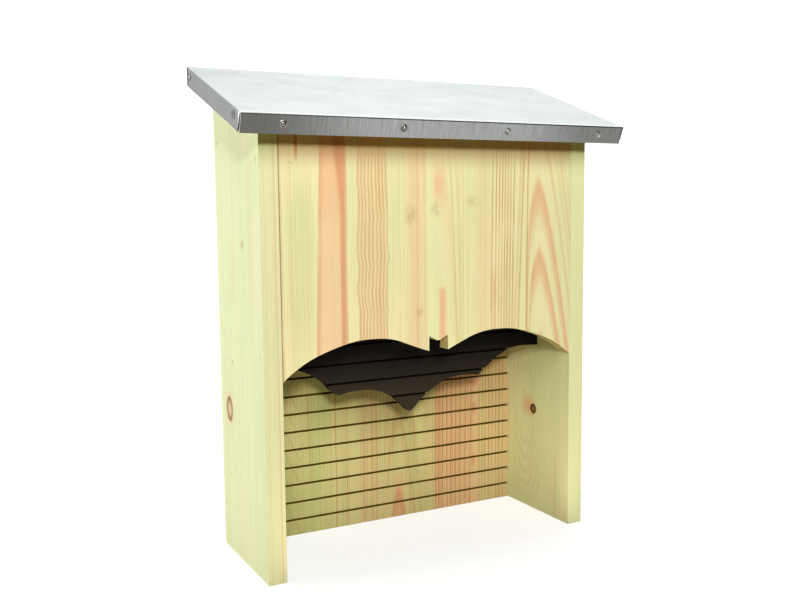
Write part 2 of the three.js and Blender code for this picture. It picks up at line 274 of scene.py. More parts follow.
def surfaceWay(tree, name="True Normal"):
    return parts(Wire(addNode(tree, "NewGeometry").outputs[name]))


def startGroup(name, inputs, *outputs):
    # Place is in millimetres: across the grain, through the board, along the grain; the rest are values
    tree = bpy.data.node_groups.new(name, "ShaderNodeTree")
    for label, value in {"Place": (0, 0, 0), **inputs}.items():
        kind = "NodeSocketVector" if label == "Place" else "NodeSocketFloat"
        tree.interface.new_socket(name=label, in_out="INPUT", socket_type=kind).default_value = value
    for label in outputs:
        kind = "NodeSocketVector" if label == "Place" else "NodeSocketFloat"
        tree.interface.new_socket(name=label, in_out="OUTPUT", socket_type=kind)
    given = {socket.name: Wire(socket) for socket in tree.nodes.new("NodeGroupInput").outputs}
    return tree, given, tree.nodes.new("NodeGroupOutput").inputs


def useGroup(group, place, **values):
    made = place.tree.nodes.new("ShaderNodeGroup")
    made.node_tree = group
    feed(made.inputs["Place"], place)
    for name, value in values.items():
        feed(made.inputs[name], value)
    return {socket.name: Wire(socket) for socket in made.outputs}


def shade(red, green, blue):
    # an sRGB colour as scene-linear
    def linear(c):
        c = c / 255
        return c / 12.92 if c <= 0.04045 else ((c + 0.055) / 1.055) ** 2.4
    return (linear(red), linear(green), linear(blue), 1.0)


# lights and background

studio = {
    "key": {"place": (-0.72, -1.7, 0.88), "aim": (0.05, 0, 0.2), "size": (0.22, 0.22), "power": 16.3},
    "leftFill": {"place": (-1.65, 0.8, 0.5), "aim": (-0.2, 0, 0.25), "size": (1.4, 1.8), "power": 28},
    "rightFill": {"place": (1.7, 0.5, 0.35), "aim": (0.2, 0, 0.25), "size": (1.2, 0.7), "power": 10},
    "frontSoft": {"place": (-0.15, -1.5, 1.37), "aim": (0, 0, 0.3), "size": (1.3, 1.0), "power": 21},
    "floorGlow": {"place": (0, -0.12, 0.004), "aim": (0, -0.12, 1), "size": (0.3, 0.1), "power": 0.21,
                  "tone": (1, 0.95, 0.8), "mirrored": False},
    "overhead": {"place": (0.7, 0.5, 1.9), "aim": (0.1, 0, 0.3), "size": (1.8, 1.8), "power": 9.5},
    "rear": {"place": (0.4, 1.9, 0.4), "aim": (0, 0, 0.25), "size": (1.8, 0.7), "power": 11,
             "mirrored": False},
}
studioTones = {"seen": (1, 1, 1, 1), "behind": (1, 1, 1, 1), "before": (0.1, 0.1, 0.1, 1),
               "air": (0.015, 0.009, 0.002, 1), "floorSeen": (1, 1, 1, 1),
               "floorGiven": (0.34, 0.26, 0.11, 1)}


def makeLight(name, place, aim, size, power, tone=(1, 1, 1), mirrored=True):
    data = bpy.data.lights.new(name, "AREA")
    data.shape = "RECTANGLE"
    data.size, data.size_y = size
    data.energy = power
    data.color = tone
    lamp = bpy.data.objects.new(name, data)
    lamp.location = place
    lamp.rotation_euler = (Vector(aim) - Vector(place)).to_track_quat("-Z", "Y").to_euler()
    lamp.visible_camera = False
    lamp.visible_glossy = mirrored
    scene.collection.objects.link(lamp)


def makeBackground():
    # white to look at; in the metal it is white behind the box, dark before it; as light it is dim and warm
    world = bpy.data.worlds.new("studio")
    scene.world = world
    world.use_nodes = True
    tree = world.node_tree
    path = addNode(tree, "LightPath").outputs
    x, y, z = parts(Wire(addNode(tree, "TexCoord").outputs["Generated"]))
    bright = maths("MAXIMUM", remap(y, -0.35, 0.25), remap(z, 0.02, -0.1, 0.0, 0.8))
    mirrored = blend(bright, studioTones["before"], studioTones["behind"])
    colour = blend(Wire(path["Is Glossy Ray"]), studioTones["air"], mirrored)
    colour = blend(Wire(path["Is Camera Ray"]), colour, studioTones["seen"])
    feed(tree.nodes["Background"].inputs["Color"], colour)


for lampName, lamp in studio.items():
    makeLight(lampName, **lamp)
makeBackground()
scene.view_settings.view_transform = "Standard"
scene.view_settings.look = "Medium High Contrast"
print("lights:", len(studio))


# shared shader groups

def makeWander():
    # moves places a little across the grain, more or less as one goes along it
    tree, given, taken = startGroup("Grain wander", {"Sideways": 1.0, "Length": 80.0, "Seed": 0.0}, "Place")
    x, y, z = parts(given["Place"])
    spot = joined(x * 0.014, y * 0.02, z / given["Length"] + given["Seed"])
    push = (noiseAt(spot, 1.0, 2.5) - 0.5) * 2.0 * given["Sideways"]
    feed(taken["Place"], vectorMaths("ADD", given["Place"], joined(push)))
    return tree


def makeYearLines():
    # parallel lines across a stretch of board, each of its own strength and width
    tree, given, taken = startGroup(
        "Year lines",
        {"From": -10.0, "To": 10.0, "Lean": 0.0, "Spacing": 3.0, "Slant": 0.5, "Width": 0.5, "Strength": 0.5,
         "Evenness": 0.3, "Soft": 1.0, "Seed": 0.0},
        "Late",
    )
    x, y, z = parts(given["Place"])
    leaning = x - z * given["Lean"] + y * given["Slant"]
    uneven = noiseAt(joined(leaning / (given["Spacing"] * 3.1), given["Seed"]), 1.0, 1.0) * 1.4
    rings = leaning / given["Spacing"] + uneven
    part = maths("FRACT", rings)
    own = remap(diceFor(rings, given["Seed"]), 0.0, 1.0, given["Evenness"], 1.0, "LINEAR")
    line = remap(part, 0.85 - given["Width"], 0.85) * remap(part, 0.85, 1.0, 1.0, 0.0) * own
    inside = within(x, given["From"], given["To"], given["Soft"])
    feed(taken["Late"], line * inside * given["Strength"])
    return tree


def makeGrainLine():
    # one late-wood line between a height of 200 mm and one of 400, hard on one side and fading on the other
    tree, given, taken = startGroup(
        "Grain line",
        {"Low": 0.0, "High": 0.0, "Bow": 0.0, "Width": 2.0, "Side": 1.0, "Strength": 0.6, "From": -999.0,
         "To": 999.0, "Taper": 30.0},
        "Late",
    )
    x, y, z = parts(given["Place"])
    part = (z - 200.0) / 200.0
    sway = part * (1.0 - part) * 4.0
    middle = given["Low"] + (given["High"] - given["Low"]) * part + sway * given["Bow"]
    away = (x - middle) * given["Side"]
    line = remap(away, -given["Width"], 0.0) * remap(away, 0.0, 0.9, 1.0, 0.0)
    ends = within(z, given["From"], given["To"], given["Taper"])
    uneven = remap(noiseAt(stretched(given["Place"], 0.05, 0.05, 0.02)), 0.25, 0.6, 0.55, 1.0)
    feed(taken["Late"], line * (ends * uneven) * given["Strength"])
    return tree


def makeBand():
    # a streak along the grain, whose first edge may lean
    tree, given, taken = startGroup(
        "Grain band",
        {"From": -5.0, "Lean": 0.0, "To": 5.0, "Low": -999.0, "High": 999.0, "Soft": 1.0, "Fade": 4.0},
        "Band",
    )
    x, y, z = parts(given["Place"])
    sides = within(x, given["From"] + z * given["Lean"], given["To"], given["Soft"])
    feed(taken["Band"], sides * within(z, given["Low"], given["High"], given["Fade"]))
    return tree


def makeFlame():
    # how far out a ring of a flat-sawn arch crosses the foot line: 0 at the centre, growing outward
    tree, given, taken = startGroup(
        "Grain flame",
        {"Centre": 0.0, "Lean": 0.0, "Foot": 0.0, "Spread": 0.8, "Power": 1.5, "Start": 12.0, "Gain": 1.0,
         "Limit": 100.0},
        "Reach",
    )
    x, y, z = parts(given["Place"])
    up = z - given["Foot"]
    side = x - given["Centre"] - up * given["Lean"]
    left = maths("MAXIMUM", -side, 0.0)
    steeper = maths("SMOOTH_MAX", left - given["Start"], 0.0, 4.0) * given["Gain"]
    rise = (abs(side) + steeper) ** given["Power"] * given["Spread"]
    total = maths("MAXIMUM", up + rise, 0.0)
    reach = (total / given["Spread"]) ** (1.0 / given["Power"])
    feed(taken["Reach"], reach / given["Limit"])
    return tree


def makeKnot():
    tree, given, taken = startGroup(
        "Knot", {"Across": 0.0, "Up": 0.0, "Radius": 8.0, "Tall": 1.2}, "Core", "Ring", "Halo", "Crack")
    x, y, z = parts(given["Place"])
    x = (x - given["Across"]) / given["Radius"]
    z = (z - given["Up"]) / (given["Radius"] * given["Tall"])
    flat = joined(x, z)
    rough = (noiseAt(flat, 2.3, 3.0) - 0.5) * 0.35
    away = vectorMaths("LENGTH", flat) + rough
    core = remap(away, 0.85, 1.05, 1.0, 0.0)
    star = maths("SINE", maths("ARCTAN2", z, x) * 3.0 + rough * 9.0)
    feed(taken["Core"], core)
    feed(taken["Ring"], remap(away, 0.35, 0.75) * core)
    feed(taken["Halo"], remap(away, 0.9, 2.2, 1.0, 0.0))
    feed(taken["Crack"], remap(star, 0.93, 1.0) * remap(away, 0.75, 0.2))
    return tree


def makeGrainEye():
    # rings drawn out along the grain round one spot
    tree, given, taken = startGroup(
        "Grain eye",
        {"Across": 0.0, "Up": 0.0, "Stretch": 3.0, "Spacing": 5.0, "Reach": 40.0, "Strength": 0.5,
         "Seed": 0.0},
        "Late",
    )
    x, y, z = parts(given["Place"])
    flat = joined(x - given["Across"], (z - given["Up"]) / given["Stretch"])
    rough = noiseAt(stretched(flat, 0.06, 0.06, 0.06), 1.0, 3.0) - 0.5
    away = vectorMaths("LENGTH", flat) + rough * 7.0
    rings = away / given["Spacing"]
    part = maths("FRACT", rings)
    line = remap(part, 0.35, 0.85) * remap(part, 0.85, 1.0, 1.0, 0.0)
    own = remap(diceFor(rings, given["Seed"]), 0.0, 1.0, 0.1, 1.0, "LINEAR")
    inside = remap(away / given["Reach"], 0.75, 1.0, 1.0, 0.0)
    feed(taken["Late"], line * own * (inside * given["Strength"]))
    return tree


def makeSmudge():
    # a faint broken mark, wider than a knot and without its edge
    tree, given, taken = startGroup("Smudge", {"Across": 0.0, "Up": 0.0, "Radius": 6.0, "Tall": 1.0}, "Mark")
    x, y, z = parts(given["Place"])
    x = (x - given["Across"]) / given["Radius"]
    z = (z - given["Up"]) / given["Radius"] / given["Tall"]
    away = remap(vectorMaths("LENGTH", joined(x, z)), 0.2, 1.3, 1.0, 0.0)
    broken = remap(noiseAt(stretched(given["Place"], 0.2, 0.2, 0.1), 1.0, 3.0, 0.55), 0.3, 0.62)
    feed(taken["Mark"], away * broken)
    return tree


def makeSawCutAndShade():
    # inside a groove: below the board's face but not as deep as the board; the materials paint it dark there,
    # as saw-cut wood and as painted shade
    tree, given, taken = startGroup("Saw cut", {"Depth": 3.5}, "Cut")
    below = parts(given["Place"])[1]
    feed(taken["Cut"], remap(below, 0.02, 0.3) * remap(below - given["Depth"], 0.3, 0.5, 1.0, 0.0))
    return tree


def makeFibre():
    tree, given, taken = startGroup("Wood fibre", {"Seed": 0.0}, "Fibre", "Clouds", "Flecks", "Height")
    place = vectorMaths("ADD", given["Place"], joined(None, given["Seed"] * 97.0))
    fine = noiseAt(stretched(place, 1.1, 1.1, 0.018), 1.0, 4.0, 0.65)
    broad = noiseAt(stretched(place, 0.16, 0.16, 0.004), 1.0, 3.0)
    canals = noiseAt(stretched(place, 1.7, 1.7, 0.16), 1.0, 1.0)
    feed(taken["Fibre"], fine * 0.6 + broad * 0.4)
    feed(taken["Clouds"], noiseAt(stretched(place, 0.022, 0.022, 0.007)))
    feed(taken["Flecks"], remap(canals, 0.72, 0.78))
    feed(taken["Height"], fine)
    return tree


def makeEdgeWearAndHighlight():
    # where the surface turns sharply, broken up by noise; the pine is painted lighter there, as wear and as a
    # highlight
    tree, given, taken = startGroup("Worn edge", {"Radius": 0.8 * mm, "Breakup": 0.35}, "Edge")
    rounded = addNode(tree, "Bevel", samples=4)
    feed(rounded.inputs["Radius"], given["Radius"])
    plain = Wire(addNode(tree, "NewGeometry").outputs["True Normal"])
    edge = remap(vectorMaths("DOT_PRODUCT", Wire(rounded.outputs[0]), plain), 0.995, 0.8)
    feed(taken["Edge"], edge * remap(noiseAt(given["Place"], 0.12, 4.0), given["Breakup"], 0.75))
    return tree


def makeZinc():
    # mottle and cells of the zinc, and brush marks that run down the folds
    tree, given, taken = startGroup("Zinc skin", {"Beside": 0.0}, "Mottle", "Spangle", "Brushed", "Scratch")
    place = given["Place"]
    x, y, z = parts(place)
    cells = addNode(tree, "TexVoronoi", feature="F1")
    cells.inputs["Scale"].default_value = 0.16
    feed(cells.inputs["Vector"], vectorMaths("ADD", place, noiseAt(place, 0.2) * 6.0))
    run = joined(x, y * given["Beside"], z * 0.04)
    scratch = noiseAt(stretched(place, 0.05, 3.0, 0.05), 1.0, 2.0, 0.8)
    feed(taken["Mottle"], noiseAt(stretched(place, 0.018, 0.03, 0.03), 1.0, 5.0, 0.6))
    feed(taken["Spangle"], fedNode("SeparateColor", (Wire(cells.outputs["Color"]),))[0])
    feed(taken["Brushed"], noiseAt(run, 0.6, 3.0, 0.65))
    feed(taken["Scratch"], remap(scratch, 0.62, 0.72))
    return tree


wander = makeWander()
yearLines = makeYearLines()
grainLine = makeGrainLine()
grainBand = makeBand()
grainFlame = makeFlame()
knotGroup = makeKnot()
grainEye = makeGrainEye()
smudge = makeSmudge()
sawCutAndShade = makeSawCutAndShade()
woodFibre = makeFibre()
edgeWearAndHighlight = makeEdgeWearAndHighlight()
zincSkin = makeZinc()
print("shader groups:", len(bpy.data.node_groups))


# pine: every board has a look of its own, laid out in millimetres across and up

def startMaterial(name):
    material = bpy.data.materials.new(name)
    material.use_nodes = True
    return material, material.node_tree, material.node_tree.nodes["Principled BSDF"].inputs


def boardPlace(tree, axes, start=(0, 0, 0)):
    # millimetres from start, ordered across the grain, through the board, along the grain
    moved = vectorMaths("SUBTRACT", Wire(addNode(tree, "TexCoord").outputs["Object"]), start)
    xyz = parts(stretched(moved, 1000, 1000, 1000))
    return joined(*(xyz["xyz".index(axis)] for axis in axes))


def wandered(place, sideways, length, seed):
    return useGroup(wander, place, Sideways=sideways, Length=length, Seed=seed)["Place"]


def addBump(shader, height, strength, distance):
    bump = addNode(height.tree, "Bump")
    bump.inputs["Strength"].default_value = strength
    bump.inputs["Distance"].default_value = distance
    feed(bump.inputs["Height"], height)
    feed(shader["Normal"], Wire(bump.outputs[0]))


def only(values, *left):
    return {key: value for key, value in values.items() if key not in left}


def linesAt(places, width, strength, kind="brown", **more):
    # a line for each place: across at 200 mm up and at 400 mm up, or one number where it stands straight
    pairs = [place if isinstance(place, tuple) else (place, place) for place in places]
    shared = {"Width": width, "Strength": strength, "kind": kind, **more}
    return [{"Low": low, "High": high, **shared} for low, high in pairs]


def zone(low, high, spacing, strength, seed, **more):
    shared = {"Width": 0.5, "Strength": strength, "Seed": seed, **more}
    return {"From": low, "To": high, "Spacing": spacing, **shared}


def band(low, high, tint, kind="peach", **more):
    return {"From": low, "To": high, "tint": tint, "kind": kind, **more}


def spotAt(sideways, up, radius, tall, **more):
    return {"Across": sideways, "Up": up, "Radius": radius, "Tall": tall, **more}


# the dark tone is painted shade, for the seam at the front board's left edge
pineColours = {
    "early": shade(230, 221, 172), "green": shade(217, 219, 164), "edge": shade(224, 208, 152),
    "peach": shade(233, 188, 146), "red": shade(216, 154, 114), "rust": shade(204, 134, 94),
    "late": shade(196, 150, 102), "moss": shade(190, 198, 140), "dark": shade(96, 72, 44),
    "knot": shade(150, 84, 50), "knotDark": shade(78, 40, 24), "smudge": shade(184, 160, 112),
    # the worn tone paints sharp edges lighter, as wear and as a painted highlight
    "endGrain": shade(180, 182, 128), "worn": shade(240, 236, 196),
}
pine = {"wander": 90.0, "waves": 36.0,  # mm along the grain
        "flecks": 0.35, "smudges": 0.5, "edges": 0.85, "ends": 0.8, "wear": 0.3, "roughness": (0.6, 0.76),
        "gloss": 0.3, "bump": 0.35, "bumpDepth": 0.12 * mm, "edgeLines": 2.1, "clouds": (0.35, 0.7),
        "streaks": (0.93, 1.05), "fibreDepth": 0.5, "crackDepth": 1.5, "fleckDepth": 0.4,
        "edgeTurn": (0.7, 0.95), "faceTurn": (0.6, 0.95)}  # how squarely a face looks that way
noiseSpread = 0.3, 0.7  # where most of a noise's values lie
frontLook = {
    "seed": 1.0, "sideways": 0.9, "waves": 5.0, "greenness": 0.7,
    "colours": {"early": shade(229, 221, 173), "green": shade(216, 220, 166), "peach": shade(230, 176, 138),
                "red": shade(220, 160, 122)},
    "zones": [zone(-166, -130, 2.4, 0.32, 1), zone(-97, -88, 2.6, 0.3, 3), zone(-56, -20, 2.6, 0.32, 3),
              zone(24, 66, 2.5, 0.4, 5), zone(160, 184, 2.6, 0.16, 6)],
    "lines": [
        *linesAt([-84.5, -81, -77.5, (-74, -73.5), -70, -66, (-62, -62.5), (-58.5, -59), -55], 2.6, 0.62,
                 wavy=True),
        *linesAt([-84, -62], 4, 0.3, "red", wavy=True),
        *linesAt([(-130, -124)], 6, 0.5, "rust", Side=-1),
        *linesAt([-97.5], 4, 0.5, "rust"),
        # painted shade: a dark line in the seam beside the left side board
        *linesAt([-164.2], 1.5, 1.0, "dark", Side=-1),
        *linesAt([-162, (-22, -21), (-13, -13.5)], 2.6, 0.34, "red"),
        *linesAt([(-152.5, -153)], 2.6, 0.2, "red"),
        *linesAt([(23, 15), (28, 22)], 3, 0.32, Bow=1.5),
        *linesAt([(-148, -146.2)], 4, 1.5, "rust", From=388, Taper=18),
        *linesAt([(-148, -146.6)], 2.5, 0.8, From=396, Taper=14),
        *linesAt([(63.5, 65.5), (68, 70), (72, 74), (75.5, 77.5), (79, 81), (82, 84.5), (85.5, 88), (89, 92),
                  (96, 104), (107, 109)], 2.3, 0.8, Bow=-0.5, Side=-1),
        *linesAt([(91, 100)], 5, 0.45, "red", Bow=-0.5, Side=-1),
        *linesAt([66], 5, 0.5, "red", Side=-1, To=300),
    ],
    "flames": [
        {"Centre": 125.5, "Lean": -0.019, "Foot": 190, "Spread": 0.8, "Power": 1.5, "Start": 12, "Gain": 3,
         "Limit": 160, "within": {"From": 104, "To": 190, "Soft": 3}, "amount": 0.8,
         "tones": [(0, 0), (5, 0.1), (9.5, 0.6), (11.6, 0.05), (19, 0), (21, 0.15), (23.3, 0.6), (26.4, 0.9),
                   (28.3, 0.05), (30.2, 0), (32, 0.15), (34.2, 0.6), (37, 0.85), (38.8, 0.05), (43.5, 0),
                   (46, 0.55), (47.2, 0), (50, 0), (51.6, 0.4), (52.6, 0), (55.8, 0.45), (56.8, 0),
                   (59.2, 0.3), (60.2, 0)]},
        {"Centre": 3.5, "Lean": 0.0, "Foot": 190, "Spread": 0.55, "Power": 1.9, "Start": 6, "Gain": 1.5,
         "Limit": 60, "within": {"From": 2, "To": 33, "Soft": 8}, "amount": 0.35,
         "tones": [(0, 0), (15, 0), (20, 0.3), (22.4, 0.7), (23.6, 0.1), (60, 0)]},
    ],
    "bands": [
        band(-137, -96.5, 0.52, Lean=0.03, Soft=4.5),
        band(-137, -96.5, 0.68, Lean=0.03, Soft=4.5, Low=280, Fade=80),
        band(-105.5, -97, 0.62, "rust", Soft=3),
        band(-68.4, -97.5, 0.66, "rust", Lean=-0.11, Soft=6, Low=316, Fade=40),
        band(-160, -126, 0.3, "moss", Low=200, High=400, Fade=60, Soft=12),
        band(-86, -54, 0.3, Soft=4),
        # painted shade: browner towards the top, below the roof's overhang
        band(-999, 999, 0.47, "brown", Low=384, Fade=24),
        band(0, 12, 0.8, Low=150, High=273, Fade=8, Soft=5),
        band(-8, 12, 0.7, Low=340, High=402, Fade=34, Soft=9),
        band(-38, -8, 0.34, Soft=12),
        band(40, 66, 0.2, Soft=12),
        band(177, 190, 0.8, Low=240, High=320, Fade=20, Soft=3),
    ],
    "smudges": [spotAt(-29, 341, 8, 1.4), spotAt(0, 346, 8, 1.0), spotAt(42, 354, 8, 0.8),
                spotAt(-20, 246, 5, 1.0)],
}
backLook = {
    # its colours are partly the board's own darker tone and partly painted shade for the inside of the box;
    # its outer face is painted lighter again
    "seed": 2.0, "sideways": 1.0, "greenness": 0.9, "outside": 1.15, "sawn": 3.5,
    "colours": {"early": shade(202, 195, 138), "green": shade(182, 191, 128), "peach": shade(216, 170, 134),
                # the back board's green is darker, for painted shade at its lower left
                "red": shade(196, 126, 94), "late": shade(152, 114, 68), "moss": shade(146, 156, 88),
                # the cut tone darkens the grooves: saw-cut wood, partly painted shade
                "cut": shade(116, 98, 6)},
    "zones": [zone(-170, -96, 13, 0.35, 11, Lean=-0.5, Width=0.2, Soft=12),
              zone(-170, 66, 2.7, 0.44, 12, Soft=6),
              zone(60, 122, 2.9, 0.5, 13, Soft=8), zone(118, 166, 3.4, 0.45, 14, Soft=6)],
    "lines": [
        *linesAt([(73, 74), (79, 80)], 2.6, 0.9, "red", Side=-1),
        *linesAt([(64, 65), (68, 69), (85, 87), (91, 93), (97, 99), (104, 106), (112, 115)], 3.2, 0.8, "red",
                 Side=-1),
        *linesAt([(-94, -98)], 2.4, 0.6, "red", From=40, To=185),
        *linesAt([-61, -48, -28, (-17, -16), -12, 30], 2.4, 0.5, "red"),
        *linesAt([(123, 124), (128, 130), (132, 134), (137, 138), (141, 142), 146, 151, 156], 2.1, 0.6,
                 Side=-1),
    ],
    "flames": [
        {"Centre": 15, "Foot": -60, "Spread": 0.9, "Power": 1.6, "Start": 14, "Gain": 1.5, "Limit": 60,
         "within": {"From": -22, "To": 52, "Soft": 8},
         "tones": [(0, 0), (12, 0.1), (17.4, 0.6), (19, 0.05), (24, 0.05), (27.5, 0.4), (29, 0), (36, 0.3),
                   (37, 0)]},
    ],
    "bands": [
        band(30, 140, 0.35, Soft=34),
        band(56, 132, 0.6, Soft=12),
        band(107, 121, 0.5, "red", Low=103, High=125, Fade=9, Soft=6),
        band(108, 120, 0.5, "red", Low=42, High=64, Fade=9, Soft=6),
        band(62, 71, 0.25, Low=-99, High=150, Fade=30, Soft=3),
        band(124, 180, 0.5, Soft=10),
        band(6, 27, 0.55, Low=-40, High=58, Fade=20, Soft=8),
        band(-44, 0, 0.3, Soft=16),
        # painted shade: darker and greener at the lower left, where the left side board's shadow falls
        band(-999, -70, 0.6, "moss", Low=-99, High=120, Soft=70, Fade=80),
    ],
    "knots": [spotAt(116, 146, 7, 0.8, halo=0.7, centre=0.2, ring=0.0)],
}
leftLook = {
    "seed": 3.0, "sideways": 2.0, "greenness": 0.6, "ribs": 0.42,
    "colours": {"early": shade(230, 234, 190), "green": shade(218, 232, 183), "edge": shade(216, 216, 168),
                "knotDark": shade(150, 96, 66), "knot": shade(190, 150, 110)},
    "zones": [zone(-5, 140, 7, 0.12, 21, Width=0.4, Slant=3.1), zone(-5, 140, 2.3, 0.1, 22)],
    "lines": linesAt([80], 2, 0.25, From=255),
    "edgeLines": linesAt([(14, 13.5)], 2, 0.45),
    "eyes": [{"Across": 105, "Up": 140, "Stretch": 2.2, "Spacing": 4, "Reach": 34, "Strength": 0.2,
              "Seed": 4}],
    "bands": [band(14, 42, 0.14, Soft=12, Low=230, High=430, Fade=60),
              band(78, 98, 0.16, Soft=8, Low=240, High=330, Fade=30)],
    "knots": [spotAt(105, 148, 10, 1.35, halo=0.2, centre=0.4, ring=0.85),
              spotAt(91, 198, 2, 0.8, halo=0.1, centre=0.5, ring=0.3)],
    "smudges": [spotAt(50, 315, 9, 0.7)],
}
rightLook = {
    "seed": 4.0, "sideways": 2.0, "greenness": 0.8, "ribs": 0.12,
    "colours": {"early": shade(247, 246, 196), "green": shade(238, 246, 190), "edge": shade(216, 219, 168),
                "knot": shade(136, 96, 58), "knotDark": shade(70, 40, 22), "peach": shade(240, 186, 142)},
    "zones": [zone(-5, 50, 5, 0.12, 31, Width=0.4, Slant=2.6, Soft=14)],
    "eyes": [{"Across": 83, "Up": 121, "Stretch": 3.2, "Spacing": 5.2, "Reach": 46, "Strength": 0.17,
              "Seed": 3}],
    "bands": [band(17, 29, 0.25, Soft=6, Low=-99, High=90, Fade=40),
              band(58, 90, 0.65, Low=100, High=138, Fade=18, Soft=13)],
    "knots": [spotAt(65, 117, 5.8, 1.0, halo=0.1, centre=0.9, ring=0.9)],
}
plainLook = {"seed": 5.0, "sideways": 2.0, "zones": [zone(-300, 300, 5, 0.5, 41)]}


def figureOf(look, place, wavy):
    # one mask for each kind of figure in a look, weakest paint first
    masks = {"moss": [], "peach": [], "red": [], "rust": [], "brown": [], "dark": []}
    for lines in look.get("zones", []):
        masks["brown"].append(useGroup(yearLines, place, **lines)["Late"])
    for line in look.get("lines", []):
        found = useGroup(grainLine, wavy if line.get("wavy") else place, **only(line, "wavy", "kind"))
        masks[line["kind"]].append(found["Late"])
    for flame in look.get("flames", []):
        reach = useGroup(grainFlame, place, **only(flame, "tones", "within", "amount"))["Reach"]
        tone = ramp(reach, [(position / flame["Limit"], tone) for position, tone in flame["tones"]])
        inside = useGroup(grainBand, place, **flame["within"])["Band"]
        masks["red"].append(tone * flame.get("amount", 1.0) * inside)
    for eye in look.get("eyes", []):
        masks["brown"].append(useGroup(grainEye, place, **eye)["Late"])
    for streak in look.get("bands", []):
        found = useGroup(grainBand, place, **only(streak, "tint", "kind"))
        masks[streak["kind"]].append(found["Band"] * streak["tint"])
    return {kind: strongest(found) for kind, found in masks.items()}


def pineMaterial(name, axes, start, look):
    material, tree, shader = startMaterial(name)
    colours = {**pineColours, **look.get("colours", {})}
    seed = look["seed"]
    still = boardPlace(tree, axes, start)
    place = wandered(still, look["sideways"], pine["wander"], seed)
    wavy = wandered(place, look.get("waves", 1.4), pine["waves"], seed + 3.0)
    figure = figureOf(look, place, wavy)
    fibre = useGroup(woodFibre, place, Seed=seed)
    way = surfaceWay(tree)
    acrossWay, throughWay, alongWay = (way["xyz".index(axis)] for axis in axes)

    clouds = remap(fibre["Clouds"], *pine["clouds"], 0.0, look.get("greenness", 0.7))
    colour = blend(clouds, colours["early"], colours["green"])
    for kind in ("moss", "peach", "red", "rust", "brown"):
        colour = blend(figure[kind], colour, colours["late" if kind == "brown" else kind])
    colour = blend(fibre["Flecks"] * pine["flecks"], colour, colours["late"])
    # painted shade: on the back board the outer face is made lighter, and the inner face stays darker for the
    # inside of the box
    outside = remap(throughWay, *pine["faceTurn"], 1.0, look.get("outside", 1.0))
    streaks = addNode(tree, "HueSaturation")
    feed(streaks.inputs["Color"], colour)
    feed(streaks.inputs["Value"], remap(fibre["Fibre"], *noiseSpread, *pine["streaks"], "LINEAR") * outside)
    # painted shade: the dark lines, such as the front board's left seam, go over the colour here
    colour = blend(figure["dark"], Wire(streaks.outputs[0]), colours["dark"])

    sunk = []
    for knot in look.get("knots", []):
        found = useGroup(knotGroup, still, **only(knot, "halo", "ring", "centre"))
        colour = blend(found["Halo"] * knot["halo"], colour, colours["peach"])
        colour = blend(found["Core"] * knot["centre"], colour, colours["knot"])
        colour = blend(found["Ring"] * knot["ring"], colour, colours["knotDark"])
        sunk.append(found["Crack"])
    for mark in look.get("smudges", []):
        colour = blend(useGroup(smudge, still, **mark)["Mark"] * pine["smudges"], colour, colours["smudge"])

    through = boardPlace(tree, axes[1] + axes[0] + axes[2], start)
    ribs = zone(-999, 999, pine["edgeLines"], look.get("ribs", 0.4), seed + 5.0, Slant=0.0)
    edgeColour = blend(useGroup(yearLines, through, **ribs)["Late"], colours["edge"], colours["late"])
    for line in look.get("edgeLines", []):
        found = useGroup(grainLine, through, **only(line, "kind"))
        edgeColour = blend(found["Late"], edgeColour, colours["red"])
    colour = blend(remap(abs(acrossWay), *pine["edgeTurn"]) * pine["edges"], colour, edgeColour)
    colour = blend(remap(abs(alongWay), *pine["faceTurn"]) * pine["ends"], colour, colours["endGrain"])
    # wear and painted highlight: sharp edges are made lighter
    colour = blend(useGroup(edgeWearAndHighlight, still)["Edge"] * pine["wear"], colour, colours["worn"])
    if look.get("sawn"):
        # saw-cut wood and painted shade: the grooves and their eased lips take the dark cut tone
        colour = blend(useGroup(sawCutAndShade, still, Depth=look["sawn"])["Cut"], colour, colours["cut"])
    feed(shader["Base Color"], colour)
    feed(shader["Roughness"], remap(fibre["Fibre"], *noiseSpread, *pine["roughness"]))
    shader["Specular IOR Level"].default_value = pine["gloss"]
    relief = fibre["Height"] * pine["fibreDepth"] + maths("MAXIMUM", figure["red"], figure["brown"])
    if sunk:
        relief = relief - strongest(sunk) * pine["crackDepth"]
    addBump(shader, relief - fibre["Flecks"] * pine["fleckDepth"], pine["bump"], pine["bumpDepth"])
    return material


# the partition's stained pine, lighter towards its foot: its upper part is painted darker as shade, where the
# front board's shadow falls

stain = {"deep": shade(16, 12, 10), "worn": shade(29, 24, 20), "late": shade(44, 35, 28),
         # the cut tone darkens the grooves: saw-cut wood, partly painted shade
         "foot": shade(84, 72, 52), "cut": shade(8, 6, 6),
         "thinned": (200, 150, 0.0, 0.34),  # from and to, mm up, and how much of the foot's tone at each
         "grain": zone(-200, 200, 4.5, 0.8, 51, Width=0.6), "fibre": (0.3, 0.75),
         "wander": 120.0, "sideways": 2.0, "lines": 0.25, "grooveDepth": 3.5, "roughness": (0.55, 0.8),
         "gloss": 0.25, "bump": 0.4, "bumpDepth": 0.15 * mm, "seed": 6.0}


